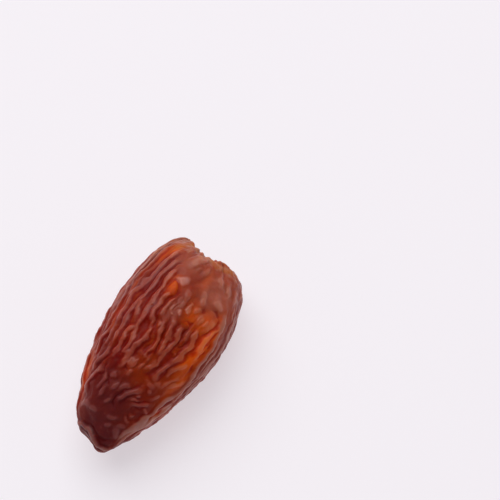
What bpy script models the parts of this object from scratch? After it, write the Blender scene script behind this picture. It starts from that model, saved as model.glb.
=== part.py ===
"""Medjool date: one soft dried fruit lying on its side, pulled off its stalk.

Metres, +Z up. The fruit's long axis runs along X, its tip at -X and its torn stem end at +X. The origin is on
the surface that the fruit lies on, under the middle of its bounding box.

The body is a turned profile, from the blunt tip over the rim of the stem end and down into the hollow there.
The skin's folds and creases are lines on that body: each raises or sinks the skin by a bell-shaped section,
and where folds meet they merge. A place on the skin is a distance along the fruit in millimetres and a turn
round its axis in degrees.
"""

import math

import bmesh
import bpy
import numpy as np

MM = 0.001

# Body
PROFILE = [
    (0.35, 0.0), (0.15, 1.3), (0.15, 2.6), (0.6, 3.8), (1.8, 4.9), (3.8, 6.0), (6.6, 7.3), (11.5, 9.2),
    (15.5, 10.4), (20.8, 11.8), (26.5, 12.7), (31.9, 12.9), (37.2, 12.4), (42.4, 11.3), (45.1, 10.4),
    (46.8, 9.4), (47.9, 8.1), (48.5, 7.0), (48.7, 6.1), (48.4, 5.3), (47.4, 4.8), (45.8, 4.5), (44.2, 3.8),
    (43.3, 2.2), (43.5, 0.0),
]  # millimetres along the axis from the tip, and out from it
PROFILE_STEPS = 600
RIM = (48.7, 6.1)  # the profile's point where the outside turns into the hollow
RIM_LOBES = [
    (1, 0.36, 1.15, 3.2), (2, 0.2, 2.88, 3.2), (3, 0.33, 3.68, 3.2), (5, 0.09, 2.1, 3.2),
    (8, 0.28, 0.5, 1.3), (13, 0.2, 4.1, 1.0),
]  # each: lobes round the rim, height in millimetres, phase, and reach along the profile in millimetres
STEM_SLANT, STEM_SLANT_FROM = 0.22, (34.0, 48.0)  # the upper half of the stem end lies further back
TIP_SLANT, TIP_SLANT_TO = 0.12, (6.0, 1.5)  # the tip is cut off aslant, with a small nub on it
TIP_MARKS = [(0.40, 1.8, 1.5), (-0.35, -1.9, 1.2)]  # height, place across and half width, in millimetres
THICKNESS = 0.93  # of the width, because the fruit has sagged as it lies
TIP_THICKNESS = 0.74  # the tip is pinched flatter
TIP_PINCH_LENGTH = 9.0
BOW = 0.6  # the axis's sideways bow, towards -Y
BOW_AT, BOW_REACH = 33.0, 13.0
PITCH = math.radians(1.6)  # tip down, which brings the lowest place under the centre of mass
SEEN_TURN = 10.6  # turn of the hand-placed folds' middle line, from straight up
SEEN_LEAN = 0.246  # what stands up on that flank is seen that much of its height nearer the stem end
SEEN_LIMIT = 60.0  # degrees across, past which a place is taken as it is
SEEN_ROUNDS = 4
MOST_ASIDE = 0.99  # of the radius, that a place may stand aside
POLE_MARGIN, STEP_ALONG, STEP_ROUND = 0.05, 0.04, 0.5  # for the outward direction: millimetres and degrees
BROAD_SWELLS = [(3, 0.022, 0.6, 0.9), (5, 0.016, 2.1, -1.4), (7, 0.010, 4.0, 1.7)]
# each: swells round the fruit, share of the radius, phase, twist from tip to stem end in radians
SWELL_FROM = (1.0, 8.0)  # millimetres from the tip over which the swells start

# Folds on the flank that lies uppermost, by where they are seen: millimetres along, degrees across
EDGE_FOLDS = [
    [(3.7, 45), (5.8, 44), (8, 48.5), (10.5, 50), (12.5, 52), (15.5, 53), (18, 55), (20.5, 57), (22.5, 57.5),
     (25, 54.5), (29, 52), (34, 52), (37.5, 49), (40, 46)],
    [(2.5, 60), (5, 55), (8.8, 58), (10.9, 62), (13, 66), (15.3, 70), (17.7, 75)],
]
LONG_FOLDS = [
    [(22, -66), (26, -64), (30, -63), (32.5, -67), (35.5, -78)],
    [(35, -65), (39, -63), (42, -58.5), (46.5, -58)],
    [(25.5, -43), (27, -49), (30, -48), (32.5, -51), (35, -46), (38, -44), (41, -43), (44, -41), (46.5, -37)],
    [(20.5, -39), (25, -39), (29, -40), (32.5, -38), (36, -35.5), (39, -36), (42, -34), (45, -31)],
    [(17.5, -34.5), (20.5, -29.5), (23, -31), (25.5, -30), (27, -26), (28.5, -23.5)],
    [(28, -30.5), (29.5, -32), (31, -34.5), (33.5, -35.5)],
    [(20, -21), (23, -21), (26, -23), (28.5, -23.5), (31, -24.5), (35, -26), (39, -26.5), (43, -24.5)],
    [(16.5, -18), (20, -17.5), (23, -14.5), (26, -12.5), (28.5, -13), (31, -17), (34.5, -19.5), (36.5, -17.5),
     (38, -14)],
    [(21.3, -4), (23.9, 0), (25.8, 1.5), (27.8, -1.5), (30, -5), (32, -5)],
    [(23.5, 10), (27, 9), (29, 6), (31, 3.5), (33.5, 1)],
    [(20, 8.5), (21.7, 10.7), (23, 13), (25, 13.5), (28, 14), (31, 12), (33.5, 11)],
    [(18, 23.5), (20, 21.7), (22, 22.3), (24, 23.5), (26, 27), (28, 28.8), (30, 31.5), (32, 29.5),
     (34.5, 29)],
    [(27, 38.5), (29, 40), (31.5, 39), (33.5, 42), (35.5, 46), (38, 48)],
    [(9.2, -45), (9.5, -52), (10.9, -58.5), (12, -53), (13.2, -45), (15, -40), (16.5, -37.5)],
    [(13, -57), (15.2, -53), (16.8, -46), (18.5, -41), (21, -40)],
    [(17, -71), (18.5, -62.5), (21, -61), (22.5, -57), (23.7, -53)],
    [(11.3, 15), (12.2, 22), (12.8, 29), (13.8, 36), (14.5, 41)],
    [(10.2, 0.5), (11.5, 0), (13, 4), (14.5, 8), (16, 14), (17, 18)],
    [(17, 62), (20, 64), (24, 62), (28, 60), (33, 62)],
    [(20, 74), (25, 71), (30, 73), (35, 70), (40, 66)],
]
BROAD_FOLDS = [
    [(34.5, 3), (35.5, 0.5), (38, 0), (41, 2)],
    [(40.3, 46), (40.3, 40), (41, 33), (41.8, 27)],
    [(38.4, 24), (38.8, 19), (40, 15.5), (42, 12.5)],
    [(43.5, 29), (45.5, 28.5), (47, 31)],
    [(40.3, -17), (40.8, -12), (41.8, -5)],
    [(44.5, -16), (46.2, -10), (47, -4), (48.4, 3)],
    [(5, -68), (5.8, -61), (6.6, -54), (7.2, -48), (7.2, -38), (7.6, -31)],
    [(4.3, 40), (5.2, 30), (6.3, 19)],
    [(35, -48), (36.3, -46.5), (37.6, -49)],
    [(41, 52), (43.5, 56), (46, 55)],
]
SHORT_FOLDS = [
    [(32, -58), (32.5, -53), (34.5, -50)],
    [(31.5, -6), (32.2, -10.5), (34, -12), (36, -11), (37.5, -7)],
    [(33.3, -2.5), (34.2, -6), (36, -5.5), (39, -4)],
    [(29.8, 21), (31, 23), (33, 22)],
    [(34, 22.5), (35.5, 23.5), (37, 24)],
    [(33, 32), (34.2, 35.5), (36, 36), (38, 35)],
    [(34.5, 31.5), (36.3, 30)],
    [(19, -51), (21, -48.5), (23.5, -47), (25.3, -44.5)],
    [(10.3, -38), (11, -34), (12.5, -31), (14, -30), (16, -31)],
    [(15.4, -26), (15.8, -21), (16.2, -17.5)],
    [(10, -27), (11.5, -24), (12.5, -21)],
    [(19, -12), (20.3, -12.5), (21.7, -10.5)],
    [(12.3, -6.5), (14.2, -3.5), (15, 0.5), (16.5, 4.5)],
    [(13.8, 14.5), (14.7, 17), (15.6, 19.5)],
    [(12.6, 14), (13.5, 19), (14.2, 24)],
    [(9.7, 21), (8.9, 28), (8.7, 35)],
    [(12.7, 37), (12.2, 42), (12, 46)],
    [(7.3, -5), (7.5, 5), (7.8, 12), (8.3, 17)],
    [(16.5, 70), (17.2, 62), (18.2, 57.5)],
    [(17.9, 35.5), (19.8, 41), (21.7, 46.5), (23, 52)],
    [(17.8, 27.5), (19.2, 32), (20.5, 36.5), (22.2, 40), (23.7, 43.5)],
    [(18.6, 12.5), (18, 18), (17.4, 24), (16.7, 29.7)],
    [(19, 8), (20.5, 7.5), (22.5, 8.5), (24, 11)],
    [(18.5, 1), (20.5, 2), (22, 1.5), (24, 3)],
    [(17.5, 25), (19.5, 27), (21, 26)],
    [(44.5, 64), (44.7, 70), (45, 76)],
    [(38.5, 62), (40, 60), (42, 63)],
    [(37, -73), (40, -71), (43, -73)],
    [(6.5, -42), (6.9, -34), (7, -25), (7.3, -15)],
    [(14, -50), (15.8, -50.5), (17.6, -48.5)],
    [(16.5, -7), (17.8, -5.5), (19, -3)],
    [(18.4, -9.5), (20, -8.2), (21.6, -6), (23, -4.6)],
    [(20.3, 28), (21.6, 30.5), (23.5, 33), (25, 36.5), (26.6, 37)],
    [(14.6, 32), (16.1, 37), (18, 40.5)],
    [(25.5, 41.5), (28, 43), (31, 43)],
    [(6, 22), (6.8, 28), (7.5, 35)],
    [(5.4, 2), (6, 9), (6.3, 15)],
    [(12.3, -14), (13.5, -12), (15, -12.5)],
    [(9, -17), (10, -12.5), (11.2, -9)],
    [(35, 9), (37, 10), (38.5, 8)],
    [(36, 18), (38, 17)],
    [(43, 3), (45, 6), (47, 8)],
    [(42, 40), (44, 43), (46, 41)],
    [(47.8, -22), (48.4, -14)],
    [(47.8, 2), (48.3, -1), (48.6, 6), (48.5, 14), (48.0, 17)],
]
TIP_FOLDS = [
    [(5.6, -100), (5.4, -78), (5.2, -60), (4.8, -43), (4.7, -23), (4.0, -6), (3.4, 16), (3.3, 42), (4.4, 62),
     (6.3, 56)],
    [(1.0, 150), (2.0, 95), (3.6, 80), (4.6, 70)],
]  # here and below the first number is millimetres on the profile from the tip's middle
TIP_CREASE = [(6.4, -45), (6.0, -33), (5.3, -12), (5.3, 12), (5.4, 23), (6.8, 40)]
PINCHES = [
    [(33.2, -2.8), (33.8, -3.6)],
    [(34.3, 3.6), (34.8, 2.2)],
    [(35.2, 9.5), (36, 8.5)],
    [(37.7, 13), (38, 8), (38.5, 5)],
    [(26.3, 20), (27.8, 20.3)],
    [(16.4, 21), (16.6, 28)],
    [(11.4, 22.5), (11.4, 29)],
    [(10.3, 25), (10.3, 35)],
    [(29.8, -9.5), (30.6, -8.5)],
]
CREASES = [
    [(9.7, 3), (9.6, -2), (10.4, -5), (12, -4.2), (13.8, -2.5)],
    [(14.2, 1.5), (15.7, 6)],
    [(26, 31), (28, 34), (30, 36), (32, 35), (34, 40), (36, 44), (38, 43), (39.2, 38), (38.8, 32)],
    [(24, 18), (26, 17), (27.5, 17), (28.5, 21), (29.5, 25), (32, 24.5)],
    [(28, 17), (31, 18), (33.8, 18), (34.5, 12), (34.2, 7)],
    [(9.2, 38), (9.2, 32), (9.8, 25), (10.6, 22)],
    [(13.1, 10), (13.6, 16), (14.5, 19.8), (16, 20)],
    [(23, 47), (26, 46), (30, 46), (33.5, 48)],
    [(33, -38), (36, -39), (38, -41), (42, -40)],
    [(32.5, -31.5), (36, -30), (38, -29), (39, -31), (43, -29)],
    [(27.5, -9.5), (31, -13.5), (35, -15.5), (37, -11.5), (38.5, -9.5), (40, -13), (40, -18), (38.5, -21),
     (36.8, -22.3)],
    [(24, 7), (27, 3.8), (30, 0.5), (33, -1.5)],
    [(17.8, -11), (18.3, -13.5)],
    [(14.5, -34), (17, -32.5), (19, -31.5)],
    [(23, -35), (26, -34.5)],
    [(18.6, 11), (20.2, 14.8), (22.3, 17.5)],
    [(9.3, -31), (10.8, -29), (12, -28.5)],
    [(21, -55.5), (22.5, -51.5)],
    [(37.7, 26), (37.2, 22)],
    [(12.8, -27), (13.3, -23), (14.5, -27), (15.2, -25)],
]
EDGE_SIZE = (0.50, 0.80)  # height and half width of each kind, in millimetres
LONG_SIZE = (0.36, 0.74)
FAR_SIZE = (0.30, 0.80)
BROAD_SIZE = (0.34, 1.05)
SHORT_SIZE = (0.30, 0.62)
TIP_SIZE = (0.46, 0.64)
PINCH_SIZE = (0.28, 0.45)
CREASE_SIZE = (0.22, 0.40)
NOTCH_SIZE = (0.55, 0.62)

# Folds of the other flanks, laid in rows by a rule
FAR_SEED = 29
FAR_FROM, FAR_TO, FAR_ROWS = 70.0, 268.0, 22  # degrees round from SEEN_TURN, first row and last
FAR_TIP, FAR_STEM = 3.5, 46.5
FAR_STAGGER = [(5.0, 8.0), (0.0, 2.0)]  # how much later a row starts, for even rows and for odd ones
FAR_LEAST, FAR_END_PLAY = 4.0, (-1.5, 0.5)  # room that a last fold needs, and how far from FAR_STEM it ends
FAR_BREAK = (9.0, 20.0)  # length of one fold in a row, shortest and longest
FAR_GAP, FAR_POINT_STEP = 1.1, 2.2
FAR_WAVE = (9.0, 15.0)  # length of a row's own bends, shortest and longest
FAR_WANDER, FAR_JITTER = 2.6, 0.9  # degrees that a fold bends aside, by its row's bends and by itself
FAR_DRIFT = 0.45  # share of the rows' spacing that a fold may run aslant

# Notches that run over the rim into the hollow
NOTCHES = 13
NOTCH_OUT, NOTCH_OUT_PLAY = 4.4, (0.4, 1.2)  # millimetres out from the rim, and the share that one has of it
NOTCH_IN, NOTCH_IN_PLAY = 3.6, (0.6, 1.0)
NOTCH_SPACING_PLAY = 0.32  # share of the spacing that one may stand aside
NOTCH_LEAN, NOTCH_LEAN_AT_RIM = 9.0, 0.3  # degrees at its inner end, and the share at the rim

# Lumps between the folds, and the torn flesh in the hollow
LUMP_SEED, LUMP_WAVES = 11, 18
LUMP_LENGTHS = (3.0, 8.0)
LUMP_HEIGHT = 0.14
TORN_SEED, TORN_WAVES = 5, 14
TORN_LENGTHS = (1.2, 2.8)
TORN_HEIGHT = 0.60
TORN_FROM, TORN_FULL = 1.0, 3.0  # millimetres past the rim
TORN_SOFTENS = 0.5  # share of the skin's relief that is lost where the flesh is torn
POLE_FADE = 1.2  # millimetres at both ends of the profile over which the relief starts

# How uneven the folds are
CRINKLES = [(61, 0.17, (1.3, 2.8)), (67, 0.36, (3.0, 7.0))]  # each: seed, reach and lengths in millimetres
CRINKLE_WAVES = 12
CALM_SPOTS = [(36.0, -42.0, 13.0, 24.0, 0.85), (4.0, 10.0, 5.0, 80.0, 0.5)]
# each: millimetres along, degrees across, half extent of both, share of the crinkling that it takes away
WIDTH_SEED, WIDTH_LENGTHS, WIDTH_PLAY = 53, (3.0, 8.0), 0.2
WAVE_GAIN = 1.2  # brings the mean of many waves near to 1 at its highest

MERGE_POWER = 3.0  # how folds that meet merge: one alone keeps its height, and two give 1.26 times it
FLAT_TOP = 1.4  # 1 gives a fold a plain bell for its section, and more a flatter top with steeper sides
LINE_STEP = 0.7
END_TAPER, END_SHARE = 2.4, 0.35  # millimetres over which a fold rises at its ends, and its height there
TAPER_FITS = 2.5  # a fold is at least this many tapers long, so a short one tapers faster
PLANE_PER_DEGREE = 0.2  # millimetres that a degree stands for, where a fold's curve is drawn

# Where the fruit lies
PRESS = 0.62
UNDERSIDE_RELIEF = 0.25  # share of the folds' height that is left where the fruit is pressed
UNDERSIDE_FADE = (0.8, 3.2)  # millimetres above the lowest place

# Mesh
SEGMENTS, RINGS = 288, 200
FACES_KEPT = 10400
CUTTER_SIZE = 0.08
SKIN_COLOUR, SKIN_ROUGHNESS = (0.30, 0.055, 0.018, 1.0), 0.42


def smooth_line(points, before, after, count):
    """Cubic curve through the points, each slope taken from its two neighbours, as count points."""
    knots = np.vstack([before, points, after]).astype(float)
    at = np.concatenate([[0.0], np.cumsum(np.linalg.norm(np.diff(knots, axis=0), axis=1))])
    slopes = (knots[2:] - knots[:-2]) / (at[2:] - at[:-2])[:, None]
    at, knots = at[1:-1], knots[1:-1]
    where = np.linspace(at[0], at[-1], count)
    i = np.clip(np.searchsorted(at, where, side="right") - 1, 0, len(at) - 2)
    gap = (at[i + 1] - at[i])[:, None]
    t = (where - at[i])[:, None] / gap
    return (
        knots[i] * (1 + 2 * t) * (1 - t) ** 2
        + knots[i + 1] * t * t * (3 - 2 * t)
        + slopes[i] * gap * t * (1 - t) ** 2
        - slopes[i + 1] * gap * t * t * (1 - t)
    )


def smooth_step(low, high, value):
    t = np.clip((value - low) / (high - low), 0.0, 1.0)
    return t * t * (3 - 2 * t)


class Body:
    """The fruit without its folds. along is millimetres on the profile from the tip's middle."""

    def __init__(self):
        mirrored = [(x, -r) for x, r in (PROFILE[1], PROFILE[-2])]
        outline = smooth_line(PROFILE, mirrored[:1], mirrored[1:], PROFILE_STEPS)
        self.outline = outline
        self.at = np.concatenate([[0.0], np.cumsum(np.linalg.norm(np.diff(outline, axis=0), axis=1))])
        self.length = self.at[-1]
        self.rim_index = int(np.argmin(np.linalg.norm(outline - RIM, axis=1)))
        self.rim = self.at[self.rim_index]

    def along_of(self, x):
        """Distance on the profile of the outside's point x millimetres from the tip."""
        outside = self.outline[: self.rim_index, 0]
        first = int(np.argmin(outside))
        return np.interp(x, outside[first:], self.at[first : self.rim_index])

    def radius(self, x):
        return np.interp(self.along_of(x), self.at, self.outline[:, 1])

    def seen(self, x, side):
        """Place of what is seen x millimetres along and side degrees across the flank's outline.

        The distance across is the outline's half width times the sine of side, and the same distance is the
        radius at the place's own x times the sine of its turn. A few rounds settle the two.
        """
        inner = np.clip(side, -SEEN_LIMIT, SEEN_LIMIT)
        across = self.radius(x) * np.sin(np.radians(inner))
        here = x
        for _ in range(SEEN_ROUNDS):
            radius = self.radius(here)
            turn = np.arcsin(np.clip(across / radius, -MOST_ASIDE, MOST_ASIDE))
            slant = STEM_SLANT * smooth_step(*STEM_SLANT_FROM, here)
            here = x - (SEEN_LEAN - slant) * radius * np.cos(turn)
        return self.along_of(here), SEEN_TURN + np.degrees(turn) + side - inner

    def point(self, along, turn):
        """Place in millimetres, tip at x 0, axis at y 0, z 0. turn: degrees from straight up, towards -Y."""
        x = np.interp(along, self.at, self.outline[:, 0])
        r = np.interp(along, self.at, self.outline[:, 1])
        a = np.radians(turn)
        length = self.outline[self.rim_index, 0]
        swell = sum(
            share * np.cos(count * a + phase + twist * x / length)
            for count, share, phase, twist in BROAD_SWELLS
        )
        r = r * (1 + swell * smooth_step(*SWELL_FROM, x))
        thick = TIP_THICKNESS + (THICKNESS - TIP_THICKNESS) * smooth_step(0.0, TIP_PINCH_LENGTH, x)
        bow = BOW * np.exp(-(((x - BOW_AT) / BOW_REACH) ** 2))
        lift = sum(
            height * np.cos(count * a + phase) * np.exp(-(((along - self.rim) / reach) ** 2))
            for count, height, phase, reach in RIM_LOBES
        )
        across = -r * np.sin(a)
        standing = r * np.cos(a - math.radians(SEEN_TURN))
        lift = lift - STEM_SLANT * standing * smooth_step(*STEM_SLANT_FROM, x)
        marks = sum(height * np.exp(-(((across - place) / half) ** 2)) for height, place, half in TIP_MARKS)
        lift = lift + (TIP_SLANT * across + marks) * smooth_step(*TIP_SLANT_TO, x)
        return np.stack([x + lift, across - bow, r * np.cos(a) * thick], axis=-1)

    def normal(self, along, turn):
        """Outward direction, from the cross product of two short steps on the body."""
        inside = np.clip(along, POLE_MARGIN, self.length - POLE_MARGIN)
        down = self.point(inside + STEP_ALONG, turn) - self.point(inside - STEP_ALONG, turn)
        aside = self.point(inside, turn + STEP_ROUND) - self.point(inside, turn - STEP_ROUND)
        out = np.cross(aside, down)
        return out / np.linalg.norm(out, axis=-1, keepdims=True)


def line_on_body(body, places, from_x=True):
    """A fold's curve on the body: points in space, and the share of the full height at each, low at its ends.

    The places' first numbers are millimetres along the fruit as it is seen, or else along the profile.
    """
    flat = np.asarray(places, float) * (1.0, PLANE_PER_DEGREE)
    length = np.linalg.norm(np.diff(flat, axis=0), axis=1).sum()
    count = max(4, int(length / LINE_STEP) + 1)
    curve = smooth_line(flat, [2 * flat[0] - flat[1]], [2 * flat[-1] - flat[-2]], count)
    along, side = curve[:, 0], curve[:, 1] / PLANE_PER_DEGREE
    turn = side + SEEN_TURN
    if from_x:
        along, turn = body.seen(along, side)
    points = body.point(along, turn)
    at = np.concatenate([[0.0], np.cumsum(np.linalg.norm(np.diff(points, axis=0), axis=1))])
    taper = min(END_TAPER, at[-1] / TAPER_FITS)
    share = END_SHARE + (1 - END_SHARE) * smooth_step(0.0, taper, at) * smooth_step(0.0, taper, at[-1] - at)
    return points, share


def lines_on_body(body, folds, from_x=True):
    return [line_on_body(body, fold, from_x) for fold in folds]


def far_folds():
    """Rows of folds on the flanks that the hand-placed ones leave, each row broken into folds end to end."""
    draw = np.random.default_rng(FAR_SEED)
    folds = []
    step = (FAR_TO - FAR_FROM) / (FAR_ROWS - 1)
    for row in range(FAR_ROWS):
        turn = FAR_FROM + step * row
        start = FAR_TIP + draw.uniform(*FAR_STAGGER[row % 2])
        wave, phase = draw.uniform(*FAR_WAVE), draw.uniform(0.0, 2 * np.pi)
        while start < FAR_STEM - FAR_LEAST:
            end = min(start + draw.uniform(*FAR_BREAK), FAR_STEM + draw.uniform(*FAR_END_PLAY))
            x = np.arange(start, end, FAR_POINT_STEP)
            drift = draw.uniform(-1.0, 1.0) * step * FAR_DRIFT
            wander = FAR_WANDER * np.sin(2 * np.pi * x / wave + phase) + draw.normal(0.0, FAR_JITTER, len(x))
            turns = turn + wander + drift * (x - start) / (end - start)
            if len(x) > 2:
                folds.append(list(zip(x, turns)))
            start = end + FAR_GAP
    return folds


def notches(body):
    """Short grooves across the rim, unevenly spaced, which leave the torn skin in lobes."""
    draw = np.random.default_rng(FAR_SEED + 1)
    grooves = []
    for k in range(NOTCHES):
        turn = 360.0 * (k + draw.uniform(-NOTCH_SPACING_PLAY, NOTCH_SPACING_PLAY)) / NOTCHES
        start = body.rim - NOTCH_OUT * draw.uniform(*NOTCH_OUT_PLAY)
        end = body.rim + NOTCH_IN * draw.uniform(*NOTCH_IN_PLAY)
        lean = draw.uniform(-NOTCH_LEAN, NOTCH_LEAN)
        grooves.append([(start, turn), (body.rim, turn + lean * NOTCH_LEAN_AT_RIM), (end, turn + lean)])
    return grooves


def raised(points, lines, size, play):
    """Height that the lines raise at the points, each line by its section. Where they meet they merge.

    play is the share of the half width that counts at each point.
    """
    height, half_width = size
    total = np.zeros(len(points))
    for line, share in lines:
        low, high = line.min(axis=0) - 3 * half_width, line.max(axis=0) + 3 * half_width
        near = np.flatnonzero(((points > low) & (points < high)).all(axis=1))
        if not len(near):
            continue
        here, width = points[near], half_width * play[near]
        best = np.zeros(len(near))
        for a, b, share_a, share_b in zip(line[:-1], line[1:], share[:-1], share[1:]):
            along = b - a
            t = np.clip((here - a) @ along / (along @ along), 0.0, 1.0)
            away = ((here - a - t[:, None] * along) ** 2).sum(axis=1)
            rise = (share_a + (share_b - share_a) * t) * np.exp(-((away / width**2) ** FLAT_TOP))
            best = np.maximum(best, rise)
        total[near] += best**MERGE_POWER
    return height * total ** (1 / MERGE_POWER)


def waves(points, seed, count, lengths):
    """Smooth lumps between -1 and 1: the mean of plane waves in drawn directions, scaled up."""
    draw = np.random.default_rng(seed)
    directions = draw.normal(size=(count, 3))
    directions /= np.linalg.norm(directions, axis=1, keepdims=True)
    numbers = 2 * np.pi / draw.uniform(*lengths, count)
    phases = draw.uniform(0, 2 * np.pi, count)
    total = sum(np.cos(points @ d * n + p) for d, n, p in zip(directions, numbers, phases))
    return np.tanh(total / math.sqrt(count) * WAVE_GAIN)


def spots(x, side, places):
    """The strongest of some bells, each wide along and across by its own two numbers."""
    bells = [
        strength * np.exp(-(((x - at) / wide) ** 2) - ((side - across) / broad) ** 2)
        for at, across, wide, broad, strength in places
    ]
    return np.max(bells, axis=0)


def crinkled(points, side):
    """The points moved a little by lumps of two sizes, so that folds drawn by distance get crinkled edges."""
    share = 1 - spots(points[:, 0], side, CALM_SPOTS)
    moved = points.copy()
    for seed, reach, lengths in CRINKLES:
        for axis in range(3):
            moved[:, axis] += reach * share * waves(points, seed + axis, CRINKLE_WAVES, lengths)
    return moved


def relief(body, along, turn, points):
    """Height of the skin over the body at each point, in millimetres."""
    kinds = [
        (EDGE_FOLDS, EDGE_SIZE, True),
        (LONG_FOLDS, LONG_SIZE, True),
        (far_folds(), FAR_SIZE, True),
        (BROAD_FOLDS, BROAD_SIZE, True),
        (SHORT_FOLDS, SHORT_SIZE, True),
        (PINCHES, PINCH_SIZE, True),
        (TIP_FOLDS, TIP_SIZE, False),
    ]
    drawn = crinkled(points, (turn - SEEN_TURN + 180) % 360 - 180)
    play = 1 + WIDTH_PLAY * waves(points, WIDTH_SEED, CRINKLE_WAVES, WIDTH_LENGTHS)
    rises = [raised(drawn, lines_on_body(body, folds, from_x), size, play) for folds, size, from_x in kinds]
    folds = sum(rise**MERGE_POWER for rise in rises) ** (1 / MERGE_POWER)
    crease_lines = lines_on_body(body, CREASES) + lines_on_body(body, [TIP_CREASE], False)
    creases = raised(drawn, crease_lines, CREASE_SIZE, play)
    grooves = raised(drawn, lines_on_body(body, notches(body), False), NOTCH_SIZE, play)
    lumps = LUMP_HEIGHT * waves(points, LUMP_SEED, LUMP_WAVES, LUMP_LENGTHS)
    height = folds - creases - grooves + lumps
    torn = smooth_step(body.rim + TORN_FROM, body.rim + TORN_FULL, along)
    shreds = waves(points, TORN_SEED, TORN_WAVES, TORN_LENGTHS)
    height = height * (1 - TORN_SOFTENS * torn) + TORN_HEIGHT * torn * shreds
    above = points[:, 2] - points[:, 2].min()
    height = height * (UNDERSIDE_RELIEF + (1 - UNDERSIDE_RELIEF) * smooth_step(*UNDERSIDE_FADE, above))
    return height * smooth_step(0.0, POLE_FADE, along) * smooth_step(0.0, POLE_FADE, body.length - along)


def fruit_mesh():
    """A ball's grid laid over the body, raised by the folds, and set down with its box over the origin."""
    ball = bmesh.new()
    bmesh.ops.create_uvsphere(ball, u_segments=SEGMENTS, v_segments=RINGS, radius=1.0)
    mesh = bpy.data.meshes.new("date")
    ball.to_mesh(mesh)
    ball.free()
    unit = np.empty(len(mesh.vertices) * 3)
    mesh.vertices.foreach_get("co", unit)
    unit = unit.reshape(-1, 3)

    body = Body()
    along = body.length * (np.arccos(np.clip(-unit[:, 2], -1, 1)) / np.pi)
    turn = np.degrees(np.arctan2(unit[:, 1], unit[:, 0]))
    points = body.point(along, turn)
    points = points + body.normal(along, turn) * relief(body, along, turn, points)[:, None]

    x, z = points[:, 0].copy(), points[:, 2].copy()
    points[:, 0] = x * math.cos(PITCH) - z * math.sin(PITCH)
    points[:, 2] = x * math.sin(PITCH) + z * math.cos(PITCH)
    low, high = points.min(axis=0), points.max(axis=0)
    points -= ((low[0] + high[0]) / 2, (low[1] + high[1]) / 2, low[2] + PRESS)
    mesh.vertices.foreach_set("co", (points * MM).ravel())
    mesh.update()
    return mesh


def facing_out(mesh):
    """The closed mesh with every face turned outwards."""
    grid = bmesh.new()
    grid.from_mesh(mesh)
    bmesh.ops.recalc_face_normals(grid, faces=grid.faces)
    grid.to_mesh(mesh)
    grid.free()
    return mesh


def in_one_order(mesh):
    """The same faces, sorted and each begun at its lowest point, so that they always thin to the same ones."""
    faces = []
    for face in mesh.polygons:
        corners = list(face.vertices)
        first = corners.index(min(corners))
        faces.append(corners[first:] + corners[:first])
    ordered = bpy.data.meshes.new("date_skin")
    ordered.from_pydata([vertex.co for vertex in mesh.vertices], [], sorted(faces))
    ordered.shade_smooth()
    bpy.data.meshes.remove(mesh)
    return ordered


def in_collection(name, obj):
    collection = bpy.data.collections.get(name) or bpy.data.collections.new(name)
    if name not in bpy.context.scene.collection.children:
        bpy.context.scene.collection.children.link(collection)
    collection.objects.link(obj)
    return obj


def surface_cutter():
    """A block whose top is the surface that the fruit lies on: what the fruit's weight has pressed flat."""
    block = bmesh.new()
    bmesh.ops.create_cube(block, size=CUTTER_SIZE)
    bmesh.ops.translate(block, verts=block.verts, vec=(0, 0, -CUTTER_SIZE / 2))
    mesh = bpy.data.meshes.new("surface_cutter")
    block.to_mesh(mesh)
    block.free()
    cutter = in_collection("cutters", bpy.data.objects.new("surface_cutter", mesh))
    cutter.hide_render = True
    cutter.display_type = "WIRE"
    return cutter


def skin_material():
    material = bpy.data.materials.new("date_skin")
    material.use_nodes = True
    shader = material.node_tree.nodes["Principled BSDF"]
    shader.inputs["Base Color"].default_value = SKIN_COLOUR
    shader.inputs["Roughness"].default_value = SKIN_ROUGHNESS
    shader.inputs["Metallic"].default_value = 0.0
    return material


def build():
    for obj in list(bpy.data.objects):
        bpy.data.objects.remove(obj)
    mesh = in_one_order(facing_out(fruit_mesh()))
    mesh.materials.append(skin_material())
    date = in_collection("medjool_date", bpy.data.objects.new("date", mesh))

    fewer = date.modifiers.new("fewer_faces", "DECIMATE")
    mesh.calc_loop_triangles()
    fewer.ratio = FACES_KEPT / len(mesh.loop_triangles)
    press = date.modifiers.new("pressed_flat", "BOOLEAN")
    press.operation = "DIFFERENCE"
    press.solver = "EXACT"
    press.object = surface_cutter()


build()
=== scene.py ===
"""Looks of a medjool date: one soft dried fruit lying on its side, pulled off its stalk.

The skin is one closed surface, worked out on a grid of two numbers: how far along the turned profile, from
the middle of the tip over the rim of the stem end to the middle of the hollow, and how far round the fruit.
Folds and creases are lines on it, each with a bell-shaped section. The torn stalk has left dry fibres in the
hollow: thin tapered tubes along curves. The formulas are in millimetres, with the tip at x 0, and what they
make is set down where the frame's own date lies.
"""

import math

import bpy
import numpy as np
from mathutils import Matrix, Vector


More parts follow.
